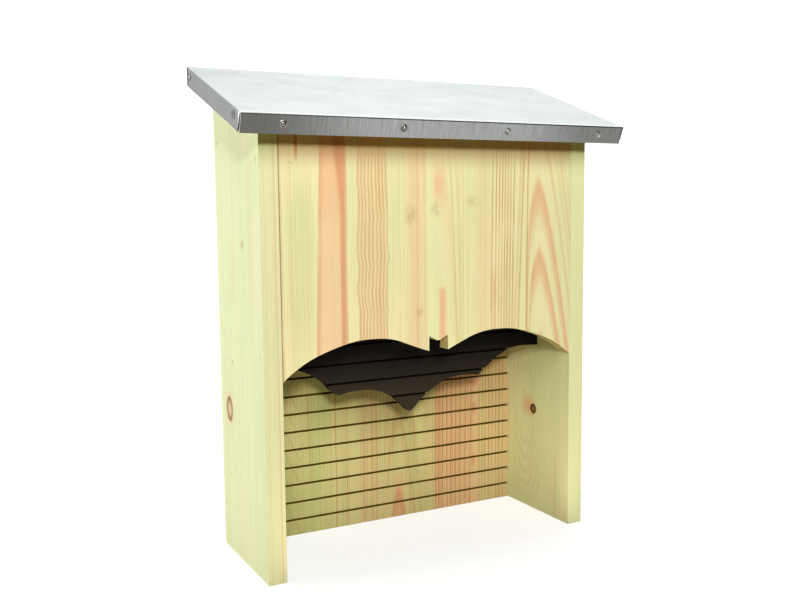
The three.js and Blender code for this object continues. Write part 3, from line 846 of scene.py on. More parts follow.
def darkPineMaterial():
    material, tree, shader = startMaterial("darkPine")
    still = boardPlace(tree, "xyz", (0, partLow.y, 0))
    place = wandered(still, stain["sideways"], stain["wander"], stain["seed"])
    fibre = useGroup(woodFibre, place, Seed=stain["seed"])
    late = useGroup(yearLines, place, **stain["grain"])["Late"]
    colour = blend(remap(fibre["Fibre"], *stain["fibre"]), stain["deep"], stain["worn"])
    colour = blend(late * stain["lines"], colour, stain["late"])
    # painted shade: darkest at the top, taking the lighter foot tone lower down
    colour = blend(remap(parts(still)[2], *stain["thinned"]), colour, stain["foot"])
    # saw-cut wood and painted shade: the grooves take the dark cut tone
    colour = blend(useGroup(sawCutAndShade, still, Depth=stain["grooveDepth"])["Cut"], colour, stain["cut"])
    feed(shader["Base Color"], colour)
    feed(shader["Roughness"], remap(fibre["Fibre"], *noiseSpread, *stain["roughness"]))
    shader["Specular IOR Level"].default_value = stain["gloss"]
    addBump(shader, fibre["Height"], stain["bump"], stain["bumpDepth"])
    return material


# metals; the lengths are mm across and from the sides' front edges

zinc = {
    "bloom": shade(203, 208, 208), "bloomDark": shade(191, 197, 197), "rim": shade(218, 222, 221),
    "bare": shade(186, 188, 186), "bareDark": shade(156, 157, 156), "stain": shade(104, 103, 99),
    # the two darkest tones are painted shade: on the side flanges, along the front fold and round the nails
    "side": shade(86, 89, 89), "soot": shade(64, 66, 64),
    "rimFade": (-24, -31), "curlFade": (-22, -28),  # the roof's front edge, and the sides' front ends, where a highlight is painted
    # painted shade on the front flange's metal, darker towards its left and right ends
    "stains": [(-195, -60, 0.85, 0.0), (70, 170, 0.0, 0.55), (203, 207, 0.0, 0.8)],  # from, to, strengths
    "nailMark": (4.2, 2.2), "metallic": (0.9, 0.3), "roughness": (0.34, 0.42),
    "topRough": 0.12, "mottleRough": 0.08, "scratchRough": 0.06,
    "rimTint": 0.8, "sideTint": 0.8, "creaseTint": 0.85, "markTint": 0.7,
    "upTurn": (0.35, 0.8), "frontTurn": (0.55, 0.9), "sideTurn": (0.6, 0.95),  # how squarely it looks there
    "creaseTurn": ((-0.3, -0.1), (0.62, 0.4), (-0.2, -0.6)),  # the strip just below the front fold, painted dark as shade
    "bump": 0.1, "bumpDepth": 0.05 * mm,
}


def zincMaterial():
    # bright bloom where the sheet faces up, bare brushed metal on the folds
    material, tree, shader = startMaterial("zincSheet")
    place = boardPlace(tree, "xyz", (0, frontY, 0))
    x, y, z = parts(place)
    wayX, wayY, wayZ = surfaceWay(tree, "Normal")
    top = remap(wayZ, *zinc["upTurn"])
    frontal = remap(-wayY, *zinc["frontTurn"])
    beside = remap(abs(wayX), *zinc["sideTurn"])
    skin = useGroup(zincSkin, place, Beside=beside)
    bloom = blend(remap(skin["Mottle"], *noiseSpread), zinc["bloomDark"], zinc["bloom"])
    bloom = blend(remap(y, *zinc["rimFade"]) * zinc["rimTint"], bloom, zinc["rim"])
    bare = blend(remap(skin["Brushed"], *noiseSpread), zinc["bareDark"], zinc["bare"])
    # painted shade: the side flanges are made darker than the front one
    bare = blend(beside * zinc["sideTint"], bare, zinc["side"])
    # painted highlight: the side flanges' curled front ends are lighter and more metallic
    curlHighlight = remap(y, *zinc["curlFade"]) * beside
    bare = blend(curlHighlight, bare, zinc["rim"])
    # painted shade: darker stretches along the front flange, in place of the darker reflections there
    for shadedStretch in zinc["stains"]:
        bare = blend(remap(x, *shadedStretch) * frontal, bare, zinc["stain"])
    below, above, forward = zinc["creaseTurn"]
    creased = remap(wayZ, *below) * remap(wayZ, *above) * remap(wayY, *forward)
    # painted shade: a dark strip just below the front fold
    bare = blend(creased * zinc["creaseTint"], bare, zinc["soot"])
    # painted shade: a dark ring round each roof nail's seat
    marks = []
    for name in roofNails:
        centre = (nailTop(name) - Vector((0, frontY, 0))) * 1000
        marks.append(remap(vectorMaths("DISTANCE", place, centre), *zinc["nailMark"]))
    clean = blend(top, bare, bloom)
    feed(shader["Base Color"], blend(strongest(marks) * zinc["markTint"], clean, zinc["soot"]))
    feed(shader["Metallic"], remap(maths("MAXIMUM", top, curlHighlight), 0.0, 1.0, *zinc["metallic"]))
    rough = remap(skin["Spangle"], 0.0, 1.0, *zinc["roughness"]) + top * zinc["topRough"]
    rough = rough + skin["Mottle"] * zinc["mottleRough"]
    feed(shader["Roughness"], rough - skin["Scratch"] * zinc["scratchRough"])
    addBump(shader, skin["Brushed"] + skin["Mottle"], zinc["bump"], zinc["bumpDepth"])
    return material


steel = {"fineness": 4, "mottle": (0.35, 0.65), "uneven": 0.08}


def steelMaterial(name, bright, dull, roughness):
    material, tree, shader = startMaterial(name)
    fine, uneven = steel["fineness"], steel["uneven"]
    skin = useGroup(zincSkin, stretched(boardPlace(tree, "xyz"), fine, fine, fine))
    feed(shader["Base Color"], blend(remap(skin["Mottle"], *steel["mottle"]), dull, bright))
    shader["Metallic"].default_value = 1.0
    feed(shader["Roughness"], remap(skin["Spangle"], 0.0, 1.0, roughness - uneven, roughness + uneven))
    return material


materials = {
    "front": pineMaterial("frontPine", "xyz", (0, frontY, 0), frontLook),
    "back": pineMaterial("backPine", "xyz", (0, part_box("back_board")[0].y, 0), backLook),
    "left": pineMaterial("leftPine", "yxz", (sideLow.x, frontY, 0), leftLook),
    "right": pineMaterial("rightPine", "yxz", (-sideHigh.x, frontY, 0), rightLook),
    "rail": pineMaterial("railPine", "zyx", (0, frontY, 0.38), plainLook),
    "deck": pineMaterial("deckPine", "yzx", (0, frontY, 0.42), {**plainLook, "seed": 6.0}),
    "dark": darkPineMaterial(),
    "zinc": zincMaterial(),
    "nail": steelMaterial("nailSteel", shade(168, 166, 160), shade(130, 128, 122), 0.26),
    # painted shade: a darker copy of the nail steel for the side flanges' nails
    "dullNail": steelMaterial("nailSteelDull", shade(112, 112, 110), shade(84, 84, 82), 0.4),
    "staple": steelMaterial("stapleWire", shade(226, 220, 188), shade(184, 176, 142), 0.5),
    "hanger": steelMaterial("hangerSteel", shade(205, 202, 195), shade(160, 157, 150), 0.33),
}
print("materials:", len(materials))


# mesh helpers

def meshObject(name, bm):
    bmesh.ops.recalc_face_normals(bm, faces=bm.faces)
    mesh = bpy.data.meshes.new(name)
    bm.to_mesh(mesh)
    bm.free()
    piece = bpy.data.objects.new(name, mesh)
    scene.collection.objects.link(piece)
    return piece


def settled(piece):
    # the piece's mesh with its modifiers applied
    bpy.context.view_layer.update()
    shaped = bpy.data.meshes.new_from_object(piece.evaluated_get(bpy.context.evaluated_depsgraph_get()))
    piece.modifiers.clear()
    piece.data = shaped


def carve(piece, name, cutterMesh):
    # takes a cutter out of a piece
    cutter = meshObject(name, cutterMesh)
    cut = piece.modifiers.new("carve", "BOOLEAN")
    cut.object = cutter
    cut.solver = "EXACT"
    settled(piece)
    bpy.data.objects.remove(cutter)


def smoothShaded(piece, angle):
    piece.data.polygons.foreach_set("use_smooth", [True] * len(piece.data.polygons))
    piece.data.set_sharp_from_angle(angle=math.radians(angle))


def ease(piece, width, segments=2, angle=30):
    smoothShaded(piece, angle)
    bevel = piece.modifiers.new("eased edges", "BEVEL")
    bevel.width = width
    bevel.segments = segments
    bevel.limit_method = "ANGLE"
    bevel.angle_limit = math.radians(angle)
    bevel.harden_normals = True


def loft(rings):
    # joins rings of points in a row and closes both ends
    bm = bmesh.new()
    made = [[bm.verts.new(point) for point in ring] for ring in rings]
    for cap in (made[0], made[-1][::-1]):
        if len(cap) > 2:
            bm.faces.new(cap)
    for near, far in zip(made, made[1:]):
        for j in range(max(len(near), len(far))):
            a, b = (j - 1) % len(near), j % len(near)
            c, d = j % len(far), (j - 1) % len(far)
            corners = list(dict.fromkeys((near[a], near[b], far[c], far[d])))
            if len(corners) > 2:
                bm.faces.new(corners)
    return bm


def prism(outline, along):
    return loft([outline, [point + along for point in outline]])


def boxMesh(low, high):
    (left, near, bottom), (right, far, top) = low, high
    base = [Vector((x, y, bottom)) for x, y in ((left, near), (right, near), (right, far), (left, far))]
    return prism(base, upward * (top - bottom))


def onRound(centre, right, top, radius, angle):
    return centre + right * (radius * math.cos(angle)) + top * (radius * math.sin(angle))


def stadium(middle, run, side, half, radius, steps=6):
    # a slot outline with round ends
    points = []
    for way in (1, -1):
        for k in range(steps + 1):
            a = math.radians(-90 + 180 * k / steps)
            away = run * (half + radius * math.cos(a)) + side * (radius * math.sin(a))
            points.append(middle + way * away)
    return points


def turned(rings, place, axis, sides=24):
    # a lathed solid whose own z runs along the axis; rings are (radius, height), and radius 0 is one point
    turn = axis.to_track_quat("Z", "Y")
    angles = [2 * math.pi * j / sides for j in range(sides)]
    return loft([[place + turn @ Vector((radius * math.cos(angle), radius * math.sin(angle), height))
                  for angle in (angles if radius else angles[:1])] for radius, height in rings])


def faceOutline(nodeName, facing):
    # the rim of a node's flat face that looks this way, in order, without its holes
    bm = bmesh.new()
    bm.from_mesh(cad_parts[nodeName].data)
    bmesh.ops.remove_doubles(bm, verts=bm.verts, dist=weld)
    bm.normal_update()
    far = max(v.co.dot(facing) for v in bm.verts)
    level = [f for f in bm.faces if f.normal.dot(facing) > 0.99]
    flat = {f for f in level if far - f.calc_center_median().dot(facing) < flush}
    beside = {}
    for edge in bm.edges:
        if sum(f in flat for f in edge.link_faces) == 1:
            a, b = edge.verts
            beside.setdefault(a, []).append(b)
            beside.setdefault(b, []).append(a)
    loops = []
    while beside:
        here = next(iter(beside))
        loop = [here]
        while beside.get(here):
            ahead = beside[here].pop()
            beside[ahead].remove(here)
            loop.append(ahead)
            here = ahead
        for vert in loop:
            if not beside.get(vert):
                beside.pop(vert, None)
        loops.append([vert.co.copy() for vert in loop[:-1]])
    bm.free()
    outline = max(loops, key=lambda loop: sum((here - loop[k - 1]).length for k, here in enumerate(loop)))
    kept = []
    for k, point in enumerate(outline):
        before, after = point - outline[k - 1], outline[(k + 1) % len(outline)] - point
        if before.length and after.length and before.angle(after) > math.radians(0.2):
            kept.append(point)
    return kept


def trimTop(bm):
    # cuts a board along the slope that every board's top follows
    bmesh.ops.bisect_plane(bm, geom=bm.verts[:] + bm.edges[:] + bm.faces[:], plane_co=slopePoint,
                           plane_no=slopeNormal, clear_outer=True, dist=weld)
    rim = [e for e in bm.edges if e.is_boundary]
    if rim:
        bmesh.ops.holes_fill(bm, edges=rim, sides=0)
    return bm


def dress(piece, material, nodeName):
    piece.data.materials.clear()
    piece.data.materials.append(materials[material])
    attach(piece, "root")
    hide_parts(nodeName)


def camel(nodeName, middle):
    # left_staple_2 as leftStaple2
    words = nodeName.split("_")
    return words[0] + middle + words[-1]


slopePoint = max(faceOutline("left_side", -across), key=lambda point: point.z)


# staples

staple = {"wire": 1.2 * mm, "thick": 0.9 * mm, "bend": 1.0 * mm, "leg": 24.5 * mm, "sag": 0.12 * mm,
          "dentWidth": 1.25 * mm, "dentDepth": 0.15 * mm, "sides": 8,
          "bendSteps": (22, 45, 68, 90), "shaded": 50}  # degrees
leftStaples = [f"left_staple_{k}" for k in range(1, 6)]
rightStaples = [f"right_staple_{k}" for k in range(1, 6)]
frontStaples = [f"front_staple_{k}" for k in range(1, 4)]


def crownOf(nodeName, facing):
    # the middle of a staple's crown, which way it runs, and half its length
    crown = topPoints(nodeName, facing)
    middle = middleOf(crown)
    tip = max(crown, key=lambda p: (p - middle).length)
    other = max(crown, key=lambda p: (p - tip).length)
    near = min((p for p in crown if (p - tip).length > 0.5 * mm), key=lambda p: (p - tip).length)
    side = (tip - near).normalized()
    run = (tip - other) - side * (tip - other).dot(side)
    return middle, run.normalized(), run.length / 2


def stapleMesh(nodeName, facing):
    middle, run, half = crownOf(nodeName, facing)
    side = facing.cross(run)
    bend, radius = staple["bend"], staple["thick"] / 2
    inner = half - radius
    path = [(-inner, -staple["leg"]), (-inner, -bend - radius)]
    path += [(-inner + bend - bend * math.cos(a), -bend - radius + bend * math.sin(a))
             for a in (math.radians(d) for d in staple["bendSteps"])]
    path += [(0, -radius - staple["sag"])]
    path += [(-x, z) for x, z in reversed(path[:-1])]
    angles = [2 * math.pi * (j + 0.5) / staple["sides"] for j in range(staple["sides"])]
    rings = []
    for k, (x, z) in enumerate(path):
        before, after = path[max(k - 1, 0)], path[min(k + 1, len(path) - 1)]
        tangent = (run * (after[0] - before[0]) + facing * (after[1] - before[1])).normalized()
        normal = side.cross(tangent) * (staple["thick"] / staple["wire"])
        centre = middle + run * x + facing * z
        rings.append([onRound(centre, side, normal, staple["wire"] / 2, angle) for angle in angles])
    return loft(rings)


def dentFor(nodeName, facing):
    # the crushed trench that a driven crown leaves
    middle, run, half = crownOf(nodeName, facing)
    radius = staple["dentWidth"] / 2
    outline = stadium(middle + facing * mm, run, facing.cross(run), half - radius * 0.5, radius)
    return prism(outline, -facing * (mm + staple["dentDepth"]))


# sides

sides = {"ease": 0.7 * mm, "dado": 4 * mm, "gap": 0.3 * mm}


def makeSide(name, nodeName, facing, material, staples):
    low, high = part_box(nodeName)
    board = meshObject(name, prism(faceOutline(nodeName, facing), -facing * (high.x - low.x)))
    inner = low.x if facing.x > 0 else high.x
    edge = max(facing.x * p.x for p in pointsOf("partition_board"))
    shoulder = min(p.z for p in pointsOf("partition_board") if facing.x * p.x > edge - 0.1 * mm)
    deep, past = inner + facing.x * sides["dado"], inner - facing.x * sides["dado"]
    dado = boxMesh((min(deep, past), partLow.y - sides["gap"], shoulder - sides["gap"]),
                   (max(deep, past), partHigh.y + sides["gap"], high.z + 10 * mm))
    carve(board, "dado", dado)
    for nodeOfStaple in staples:
        carve(board, "dent", dentFor(nodeOfStaple, facing))
    ease(board, sides["ease"], 3)
    dress(board, material, nodeName)


makeSide("leftSideBoard", "left_side", -across, "left", leftStaples)
makeSide("rightSideBoard", "right_side", across, "right", rightStaples)
print("sides done")


# back board: its grooved section swept across, with lips that the saw left a little ragged

back = {"step": 3 * mm, "ease": 0.45 * mm, "ragged": 0.09 * mm, "lipGrain": (450, 900), "plainTop": 20 * mm,
        "pocketDepth": 6 * mm, "pocketHalf": 7.7 * mm, "pocketRadius": 6.3 * mm, "recess": 0.3 * mm}


def raggedSpot(x, point, low, high):
    spot = Vector((x, point.y, point.z))
    if abs(point.y - low.y) < flush and low.z + mm < point.z < high.z - back["plainTop"]:
        grain = Vector((x * back["lipGrain"][0], point.z * back["lipGrain"][1], 3))
        spot.z += back["ragged"] * noise.noise(grain)
    return spot


def makeBack():
    section = faceOutline("back_board", across)
    low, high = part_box("back_board")
    count = round((high.x - low.x) / back["step"])
    rings = [[raggedSpot(low.x + (high.x - low.x) * k / count, point, low, high) for point in section]
             for k in range(count + 1)]
    board = meshObject("backBoard", loft(rings))
    for nodeName in ("hanger_plate_1", "hanger_plate_2"):
        plateLow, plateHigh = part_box(nodeName)
        middle = (plateLow + plateHigh) / 2
        middle.y = high.y + mm
        radius = (plateHigh.x - plateLow.x) / 2
        half = (plateHigh.z - plateLow.z) / 2 - radius
        depth = high.y - plateLow.y + back["recess"] + mm
        recess = stadium(middle, upward, across, half, radius + back["recess"])
        carve(board, "recess", prism(recess, outward * depth))
        pocket = stadium(middle, upward, across, back["pocketHalf"], back["pocketRadius"])
        carve(board, "pocket", prism(pocket, outward * (depth + back["pocketDepth"])))
    ease(board, back["ease"])
    dress(board, "back", "back_board")


makeBack()
print("back board done")


# front board, batten, partition and roof board

front = {"ease": 0.5 * mm}
rail = {"ease": 0.8 * mm}
deck = {"ease": 0.8 * mm}
partition = {"ease": 0.35 * mm, "grooveWidth": 2.1 * mm, "grooveDepth": 3.5 * mm, "firstGroove": 151.8 * mm,
             "groovePitch": 19.5 * mm}


def standingBoard(name, nodeName):
    low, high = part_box(nodeName)
    return meshObject(name, trimTop(prism(faceOutline(nodeName, -outward), outward * (high.y - low.y))))


def makeFront():
    board = standingBoard("frontBoard", "front_board")
    for nodeName in frontStaples:
        carve(board, "dent", dentFor(nodeName, outward))
    ease(board, front["ease"])
    dress(board, "front", "front_board")


def makeLong(name, nodeName, material, width):
    # a board whose section runs the whole way across
    low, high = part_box(nodeName)
    board = meshObject(name, prism(faceOutline(nodeName, across), -across * (high.x - low.x)))
    ease(board, width)
    dress(board, material, nodeName)


def makePartition():
    low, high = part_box("partition_board")
    board = standingBoard("partitionBoard", "partition_board")
    half, deep = partition["grooveWidth"] / 2, low.y + partition["grooveDepth"]
    for k in range(int((high.z - partition["firstGroove"]) / partition["groovePitch"])):
        middle = partition["firstGroove"] + k * partition["groovePitch"]
        groove = boxMesh((low.x - mm, low.y - mm, middle - half), (high.x + mm, deep, middle + half))
        carve(board, "groove", groove)
    ease(board, partition["ease"])
    dress(board, "dark", "partition_board")


makeFront()
makeLong("frontRail", "front_rail", "rail", rail["ease"])
makePartition()
makeLong("roofBoard", "roof_board", "deck", deck["ease"])
print("front board, batten, partition and roof board done")


# roof sheet: a flat blank folded down on its four edges, in the roof's own frame (x across, y up the slope)

sheet = {"thick": 0.8 * mm, "fold": 1.4 * mm, "flange": 17.9 * mm, "cornerStart": 1.6 * mm, "step": 9 * mm,
         "foldSteps": 5, "flangeSteps": 8, "nailSteps": (0, 1.2 * mm, 2.6 * mm, 4.4 * mm, 7 * mm),
         "canning": 0.45 * mm, "flare": 0.9 * mm, "flareLength": 22 * mm, "dimple": 0.35 * mm,
         "dimpleRadius": 4 * mm, "dimpleFrom": 0.2, "wave": 0.2 * mm, "endCurl": 0.5 * mm, "endRound": 4 * mm,
         "topLumps": (9, 11), "flangeLumps": (22, 26), "nailClear": 1.5 * mm, "frontRow": 5 * mm,
         "shaded": 40}
roofFrame = Matrix.Translation(Vector((0, coverLow.y, frontEdge))) @ roofTurn
roofLength = (coverHigh.y - coverLow.y) / math.cos(roofPitch)
halfRoof = (coverHigh.x - coverLow.x) / 2
innerRoof = halfRoof - sheet["fold"]
sheetNails = [roofFrame.inverted() @ nailTop(name) for name in roofNails]


def stations(low, high, spots):
    # evenly spaced places, closer together about the nails
    count = round((high - low) / sheet["step"])
    places = [low + (high - low) * k / count for k in range(count + 1)]
    close = [spot + sign * away for spot in spots for away in sheet["nailSteps"] for sign in (-1, 1)]
    near = sorted(set(round(p, 7) for p in close if low < p < high))
    clear = [p for p in places[1:-1] if all(abs(p - n) > sheet["nailClear"] for n in near)]
    return sorted({places[0], *near, *clear, places[-1]})


def sheetRows():
    # rows up the slope as (kind, value)
    fold, flange, folds, steps = (sheet[k] for k in ("fold", "flange", "foldSteps", "flangeSteps"))
    backFold = fold * math.tan((math.pi / 2 + roofPitch) / 2)
    topStart, topEnd = fold + sheet["cornerStart"], roofLength - backFold
    nails = [p.y for p in sheetNails if p.y > sheet["frontRow"]]
    top = [fold, *stations(topStart, topEnd - sheet["cornerStart"], nails), topEnd]
    backLength = flange / math.cos(roofPitch)
    rows = [("frontFlange", flange - (flange - fold) * k / steps) for k in range(steps)]
    rows += [("frontFold", math.pi / 2 * (1 - k / folds)) for k in range(folds)]
    rows += [("top", y) for y in top]
    rows += [("backFold", (math.pi / 2 + roofPitch) * (k + 1) / folds) for k in range(folds)]
    rows += [("backFlange", backFold + (backLength - backFold) * (k + 1) / steps) for k in range(steps)]
    return rows, topEnd


def sheetColumns():
    # columns across as (side, kind, value)
    fold, flange, folds, steps = (sheet[k] for k in ("fold", "flange", "foldSteps", "flangeSteps"))
    down = [("fold", math.pi / 2 * (k + 1) / folds) for k in range(folds)]
    down += [("flange", fold + (flange - fold) * (k + 1) / steps) for k in range(steps)]
    nails = [p.x for p in sheetNails if p.y < sheet["frontRow"]]
    return ([(-1, kind, value) for kind, value in reversed(down)]
            + [(0, "top", x) for x in stations(-innerRoof, innerRoof, nails)]
            + [(1, kind, value) for kind, value in down])


def lumpAt(place, scales, seed):
    return noise.noise(Vector((place.x * scales[0], place.y * scales[1], seed)))


def slopeSpot(kind, value, topEnd):
    # y and z of a row, and the outward direction there
    fold = sheet["fold"]
    if kind == "frontFlange":
        return 0.0, -value, Vector((0, -1, 0))
    if kind == "top":
        return value, 0.0, Vector((0, 0, 1))
    if kind == "backFlange":
        run, rise = math.cos(roofPitch), math.sin(roofPitch)
        return roofLength - rise * value, -run * value, Vector((0, run, -rise))
    way = -1 if kind == "frontFold" else 1
    start = fold if kind == "frontFold" else topEnd
    out = Vector((0, way * math.sin(value), math.cos(value)))
    return start + fold * out.y, fold * (out.z - 1), out


def makeSheet():
    fold, flange = sheet["fold"], sheet["flange"]
    rows, topEnd = sheetRows()
    columns = sheetColumns()
    topRows = [k for k, row in enumerate(rows) if row[0] == "top"]
    firstSide, lastSide = topRows[1], topRows[-2]
    sideStart, sideEnd = rows[firstSide][1], rows[lastSide][1]

    def spot(row, column):
        rowKind, rowValue = rows[row]
        side, kind, value = columns[column]
        y, z, out = slopeSpot(rowKind, rowValue, topEnd)
        beside = firstSide <= row <= lastSide
        if side and not beside:
            if kind == "flange":
                return None
            x = side * (innerRoof + fold * math.sin(value) ** 0.5)
            if side > 0 and rowKind == "frontFlange":  # this end is bumped in and its corner is rounded
                x -= sheet["endRound"] * (-z / flange) ** 6
                y += sheet["endCurl"] * (value / (math.pi / 2)) ** 2
            place = Vector((x, y, z))
        elif side:
            drop = fold - fold * math.cos(value) if kind == "fold" else value
            x = side * (innerRoof + fold * math.sin(value) if kind == "fold" else halfRoof)
            share = (y - sideStart) / (sideEnd - sideStart)
            place = Vector((x, y - drop * math.tan(roofPitch) * share, -drop))  # the back end is plumb
            out = Vector((side, 0, 0))
            if kind == "fold":
                out = Vector((side * math.sin(value), 0, math.cos(value)))
        else:
            place = Vector((value, y, z))
        push = 0.0
        if rowKind == "top" and not side:
            middle = (1 - (place.x / halfRoof) ** 2) * max(0, 1 - (2 * place.y / roofLength - 1) ** 2)
            push += sheet["canning"] * middle * (0.5 + lumpAt(place, sheet["topLumps"], 1))
        low = -place.z / flange  # 0 at the fold, 1 at the lower edge
        wave = sheet["wave"] * low * (0.5 + 0.5 * lumpAt(place, sheet["flangeLumps"], 5))
        push += -wave if rowKind == "backFlange" else wave
        if low > sheet["dimpleFrom"]:
            for nailSpot in sheetNails:
                push -= sheet["dimple"] * math.exp(-((place - nailSpot).length / sheet["dimpleRadius"]) ** 2)
        if side and beside and kind == "flange":
            push += sheet["flare"] * low * max(0, 1 - (place.y - sideStart) / sheet["flareLength"]) ** 2
        return roofFrame @ (place + out * push)

    bm = bmesh.new()
    spots = [[spot(row, column) for column in range(len(columns))] for row in range(len(rows))]
    grid = [[None if place is None else bm.verts.new(place) for place in row] for row in spots]
    for near, far in zip(grid, grid[1:]):
        for column in range(len(columns) - 1):
            corners = (near[column], near[column + 1], far[column + 1], far[column])
            if all(corners):
                bm.faces.new(corners)
    cover = meshObject("roofCover", bm)
    if cover.data.polygons[len(cover.data.polygons) // 2].normal.z < 0:
        cover.data.flip_normals()
    thickness = cover.modifiers.new("thickness", "SOLIDIFY")
    thickness.thickness = sheet["thick"]
    thickness.offset = -1
    thickness.use_quality_normals = True
    settled(cover)
    smoothShaded(cover, sheet["shaded"])
    dress(cover, "zinc", "roof_cover")


makeSheet()
print("roof done")


# roof nails, roof board nails and staples

nail = {"head": 2.1 * mm, "rise": 1.2 * mm, "seat": 0.3 * mm, "shank": 0.9 * mm, "length": 21 * mm,
        "lip": 3.7 * mm, "lipRise": 0.55 * mm, "lipTop": (0.74, 0.66),  # shares of the lip's radius
        "domeFoot": 0.15, "fullness": 0.8, "domeSteps": (0, 12, 24, 36, 48, 60, 70, 80),
        "tilt": 2.5, "shaded": 45}  # steps, tilt and shaded in degrees
deckNail = {"head": 2 * mm, "rise": 1.6 * mm, "shank": 1.25 * mm, "length": 50 * mm,
            "taper": (0.8, 0.1), "flat": 0.9}  # the head's outline as shares of its rise and radius


def shankOf(fastener):
    # the tip and the first ring of a nail or screw
    return [(0, -fastener["length"]), (fastener["shank"], -fastener["length"] + 2 * fastener["shank"])]


def dressTurned(name, mesh, material, nodeName):
    piece = meshObject(name, mesh)
    smoothShaded(piece, nail["shaded"])
    dress(piece, material, nodeName)


def makeRoofNails():
    rise, foot, fullness = nail["rise"], nail["domeFoot"], nail["fullness"]
    dome = [(nail["head"] * math.cos(a) ** fullness, rise * (foot + (1 - foot) * math.sin(a)))
            for a in (math.radians(d) for d in nail["domeSteps"])]
    seat, lip, lipRise = nail["seat"], nail["lip"], nail["lipRise"]
    rings = [*shankOf(nail), (nail["shank"], -seat), (lip, -seat), (lip, 0),
             *[(lip * share, lipRise) for share in nail["lipTop"]], *dome, (0, rise)]
    for name in sorted(roofNails):
        facing = nailFacing(name)
        lean = Vector([random.uniform(-1, 1) for _ in range(3)]) * math.radians(nail["tilt"])
        foot = nailTop(name) - facing * nail["rise"]
        # the side flanges' nails take the darker copy of the steel, painted shade
        material = "nail" if name.startswith("front") else "dullNail"
        mesh = turned(rings, foot, (facing + lean).normalized())
        dressTurned(camel(name, "RoofNail"), mesh, material, name)


def makeDeckNails():
    head, rise = deckNail["head"], deckNail["rise"]
    rings = [*shankOf(deckNail), (deckNail["shank"], -rise),
             *[(head, -share * rise) for share in deckNail["taper"]], (head * deckNail["flat"], 0), (0, 0)]
    for name in sorted(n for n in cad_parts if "deck_nail" in n):
        centre = middleOf(topPoints(name, slopeNormal))
        dressTurned(camel(name, "DeckNail"), turned(rings, centre, slopeNormal), "nail", name)


def makeStaples():
    for names, facing in ((leftStaples, -across), (rightStaples, across), (frontStaples, outward)):
        for name in names:
            piece = meshObject(camel(name, "Staple"), stapleMesh(name, facing))
            smoothShaded(piece, staple["shaded"])
            dress(piece, "staple", name)


makeRoofNails()
makeDeckNails()
makeStaples()


# keyhole plates and their screws

plate = {"entry": 4.8 * mm, "entryDrop": 5 * mm, "neck": 4.8 * mm, "neckRise": 8 * mm, "screwReach": 20 * mm,
         "screwHole": 2.9 * mm, "holeSpare": 0.25 * mm, "narrow": 0.55, "sinkDepth": 1.4 * mm,
         "ease": 0.15 * mm, "neckSteps": 10, "entrySteps": 24, "endSteps": 14}
screw = {"head": 2.9 * mm, "rim": 0.12 * mm, "sink": 1.4 * mm, "shank": 1.4 * mm, "length": 9 * mm,
         "recess": 0.9 * mm, "arm": 0.3 * mm, "reach": 1.7 * mm, "flat": 0.97, "sides": 32, "shaded": 40}


def keyhole(middle):
    # a round entry below with a narrow neck above, as one outline
    half = plate["neck"] / 2
    entry, neckTop = middle - upward * plate["entryDrop"], middle + upward * (plate["neckRise"] - half)
    gap = math.asin(half / plate["entry"])
    necks, entries = plate["neckSteps"], plate["entrySteps"]
    points = [onRound(neckTop, across, upward, half, math.pi * k / necks) for k in range(necks + 1)]
    for k in range(entries + 1):
        angle = math.pi / 2 + gap + (2 * math.pi - 2 * gap) * k / entries
        points.append(onRound(entry, across, upward, plate["entry"], angle))
    return points


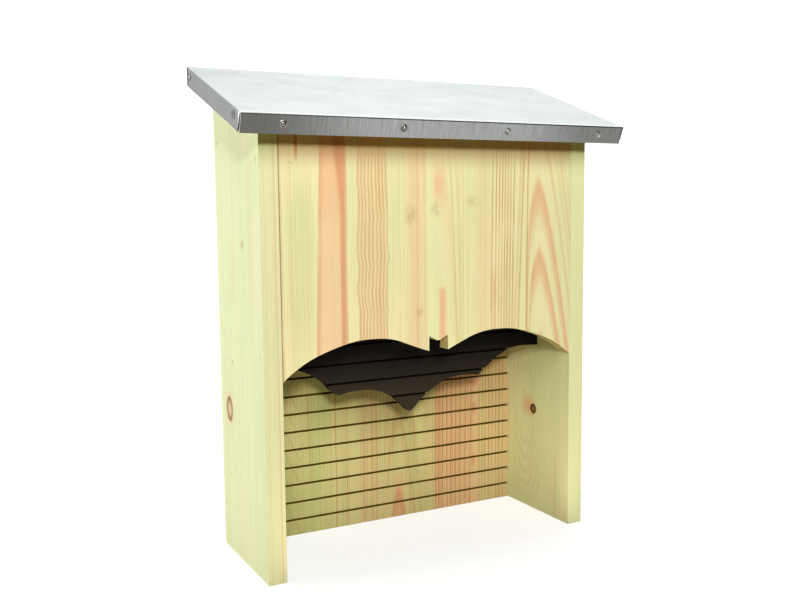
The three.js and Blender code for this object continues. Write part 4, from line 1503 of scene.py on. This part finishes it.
def makePlates():
    wide, narrow = plate["screwHole"] + plate["holeSpare"], plate["screwHole"] * plate["narrow"]
    sinking = [(0, -4 * mm), (narrow, -4 * mm), (narrow, -plate["sinkDepth"]), (wide, 0.2 * mm),
               (wide, 2 * mm), (0, 2 * mm)]  # it starts and ends well clear of the plate
    for name in ("hanger_plate_1", "hanger_plate_2"):
        low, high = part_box(name)
        middle = (low + high) / 2
        middle.y = high.y
        radius = (high.x - low.x) / 2
        straight = (high.z - low.z) / 2 - radius
        outline = stadium(middle, upward, across, straight, radius, plate["endSteps"])
        piece = meshObject("hangerPlate" + name[-1], prism(outline, outward * (high.y - low.y)))
        through = -outward * 2 * mm
        carve(piece, "keyhole", prism([p + through for p in keyhole(middle)], -2 * through))
        for way in (-1, 1):
            spot = middle + upward * (way * plate["screwReach"])
            carve(piece, "sinking", turned(sinking, spot, -outward))
        ease(piece, plate["ease"])
        dress(piece, "hanger", name)


def makeScrews():
    rings = [*shankOf(screw), (screw["shank"], -screw["sink"]), (screw["head"], -screw["rim"]),
             (screw["head"] * screw["flat"], 0), (0, 0)]
    for k in range(1, 5):
        name = f"hanger_screw_{k}"
        centre = middleOf(topPoints(name, -outward))
        piece = meshObject(f"hangerScrew{k}", turned(rings, centre, -outward, screw["sides"]))
        twist = random.uniform(0, math.pi / 2)
        for turn in (twist, twist + math.pi / 2):
            run = across * math.cos(turn) + upward * math.sin(turn)
            wide = run.cross(outward)
            corners = [centre + mm * -outward + run * (a * screw["reach"]) + wide * (b * screw["arm"])
                       for a, b in ((-1, -1), (1, -1), (1, 1), (-1, 1))]
            carve(piece, "recess", prism(corners, outward * (mm + screw["recess"])))
        smoothShaded(piece, screw["shaded"])
        dress(piece, "hanger", name)


makePlates()
makeScrews()
print("fasteners done")


# floor

floorPaper = {"radius": 1.5, "drop": 0.2 * mm, "alpha": 0.6, "fade": (0.1, 0.5),  # shares of the radius
              "roughness": 0.9, "gloss": 0.1}


def makeFloor():
    # a pale disc that fades into the background towards its rim and throws little light back up
    bm = bmesh.new()
    bmesh.ops.create_circle(bm, cap_ends=True, radius=floorPaper["radius"], segments=96)
    floor = meshObject("floor", bm)
    floor.location.z = cadLow.z - floorPaper["drop"]
    material, tree, shader = startMaterial("floorPaper")
    path = addNode(tree, "LightPath").outputs
    seen = maths("MAXIMUM", Wire(path["Is Camera Ray"]), Wire(path["Is Glossy Ray"]))
    feed(shader["Base Color"], blend(seen, studioTones["floorGiven"], studioTones["floorSeen"]))
    shader["Roughness"].default_value = floorPaper["roughness"]
    shader["Specular IOR Level"].default_value = floorPaper["gloss"]
    away = vectorMaths("LENGTH", Wire(addNode(tree, "TexCoord").outputs["Object"]))
    fadeStart, fadeEnd = (share * floorPaper["radius"] for share in floorPaper["fade"])
    feed(shader["Alpha"], remap(away, fadeStart, fadeEnd, floorPaper["alpha"], 0.0))
    floor.data.materials.append(material)


makeFloor()
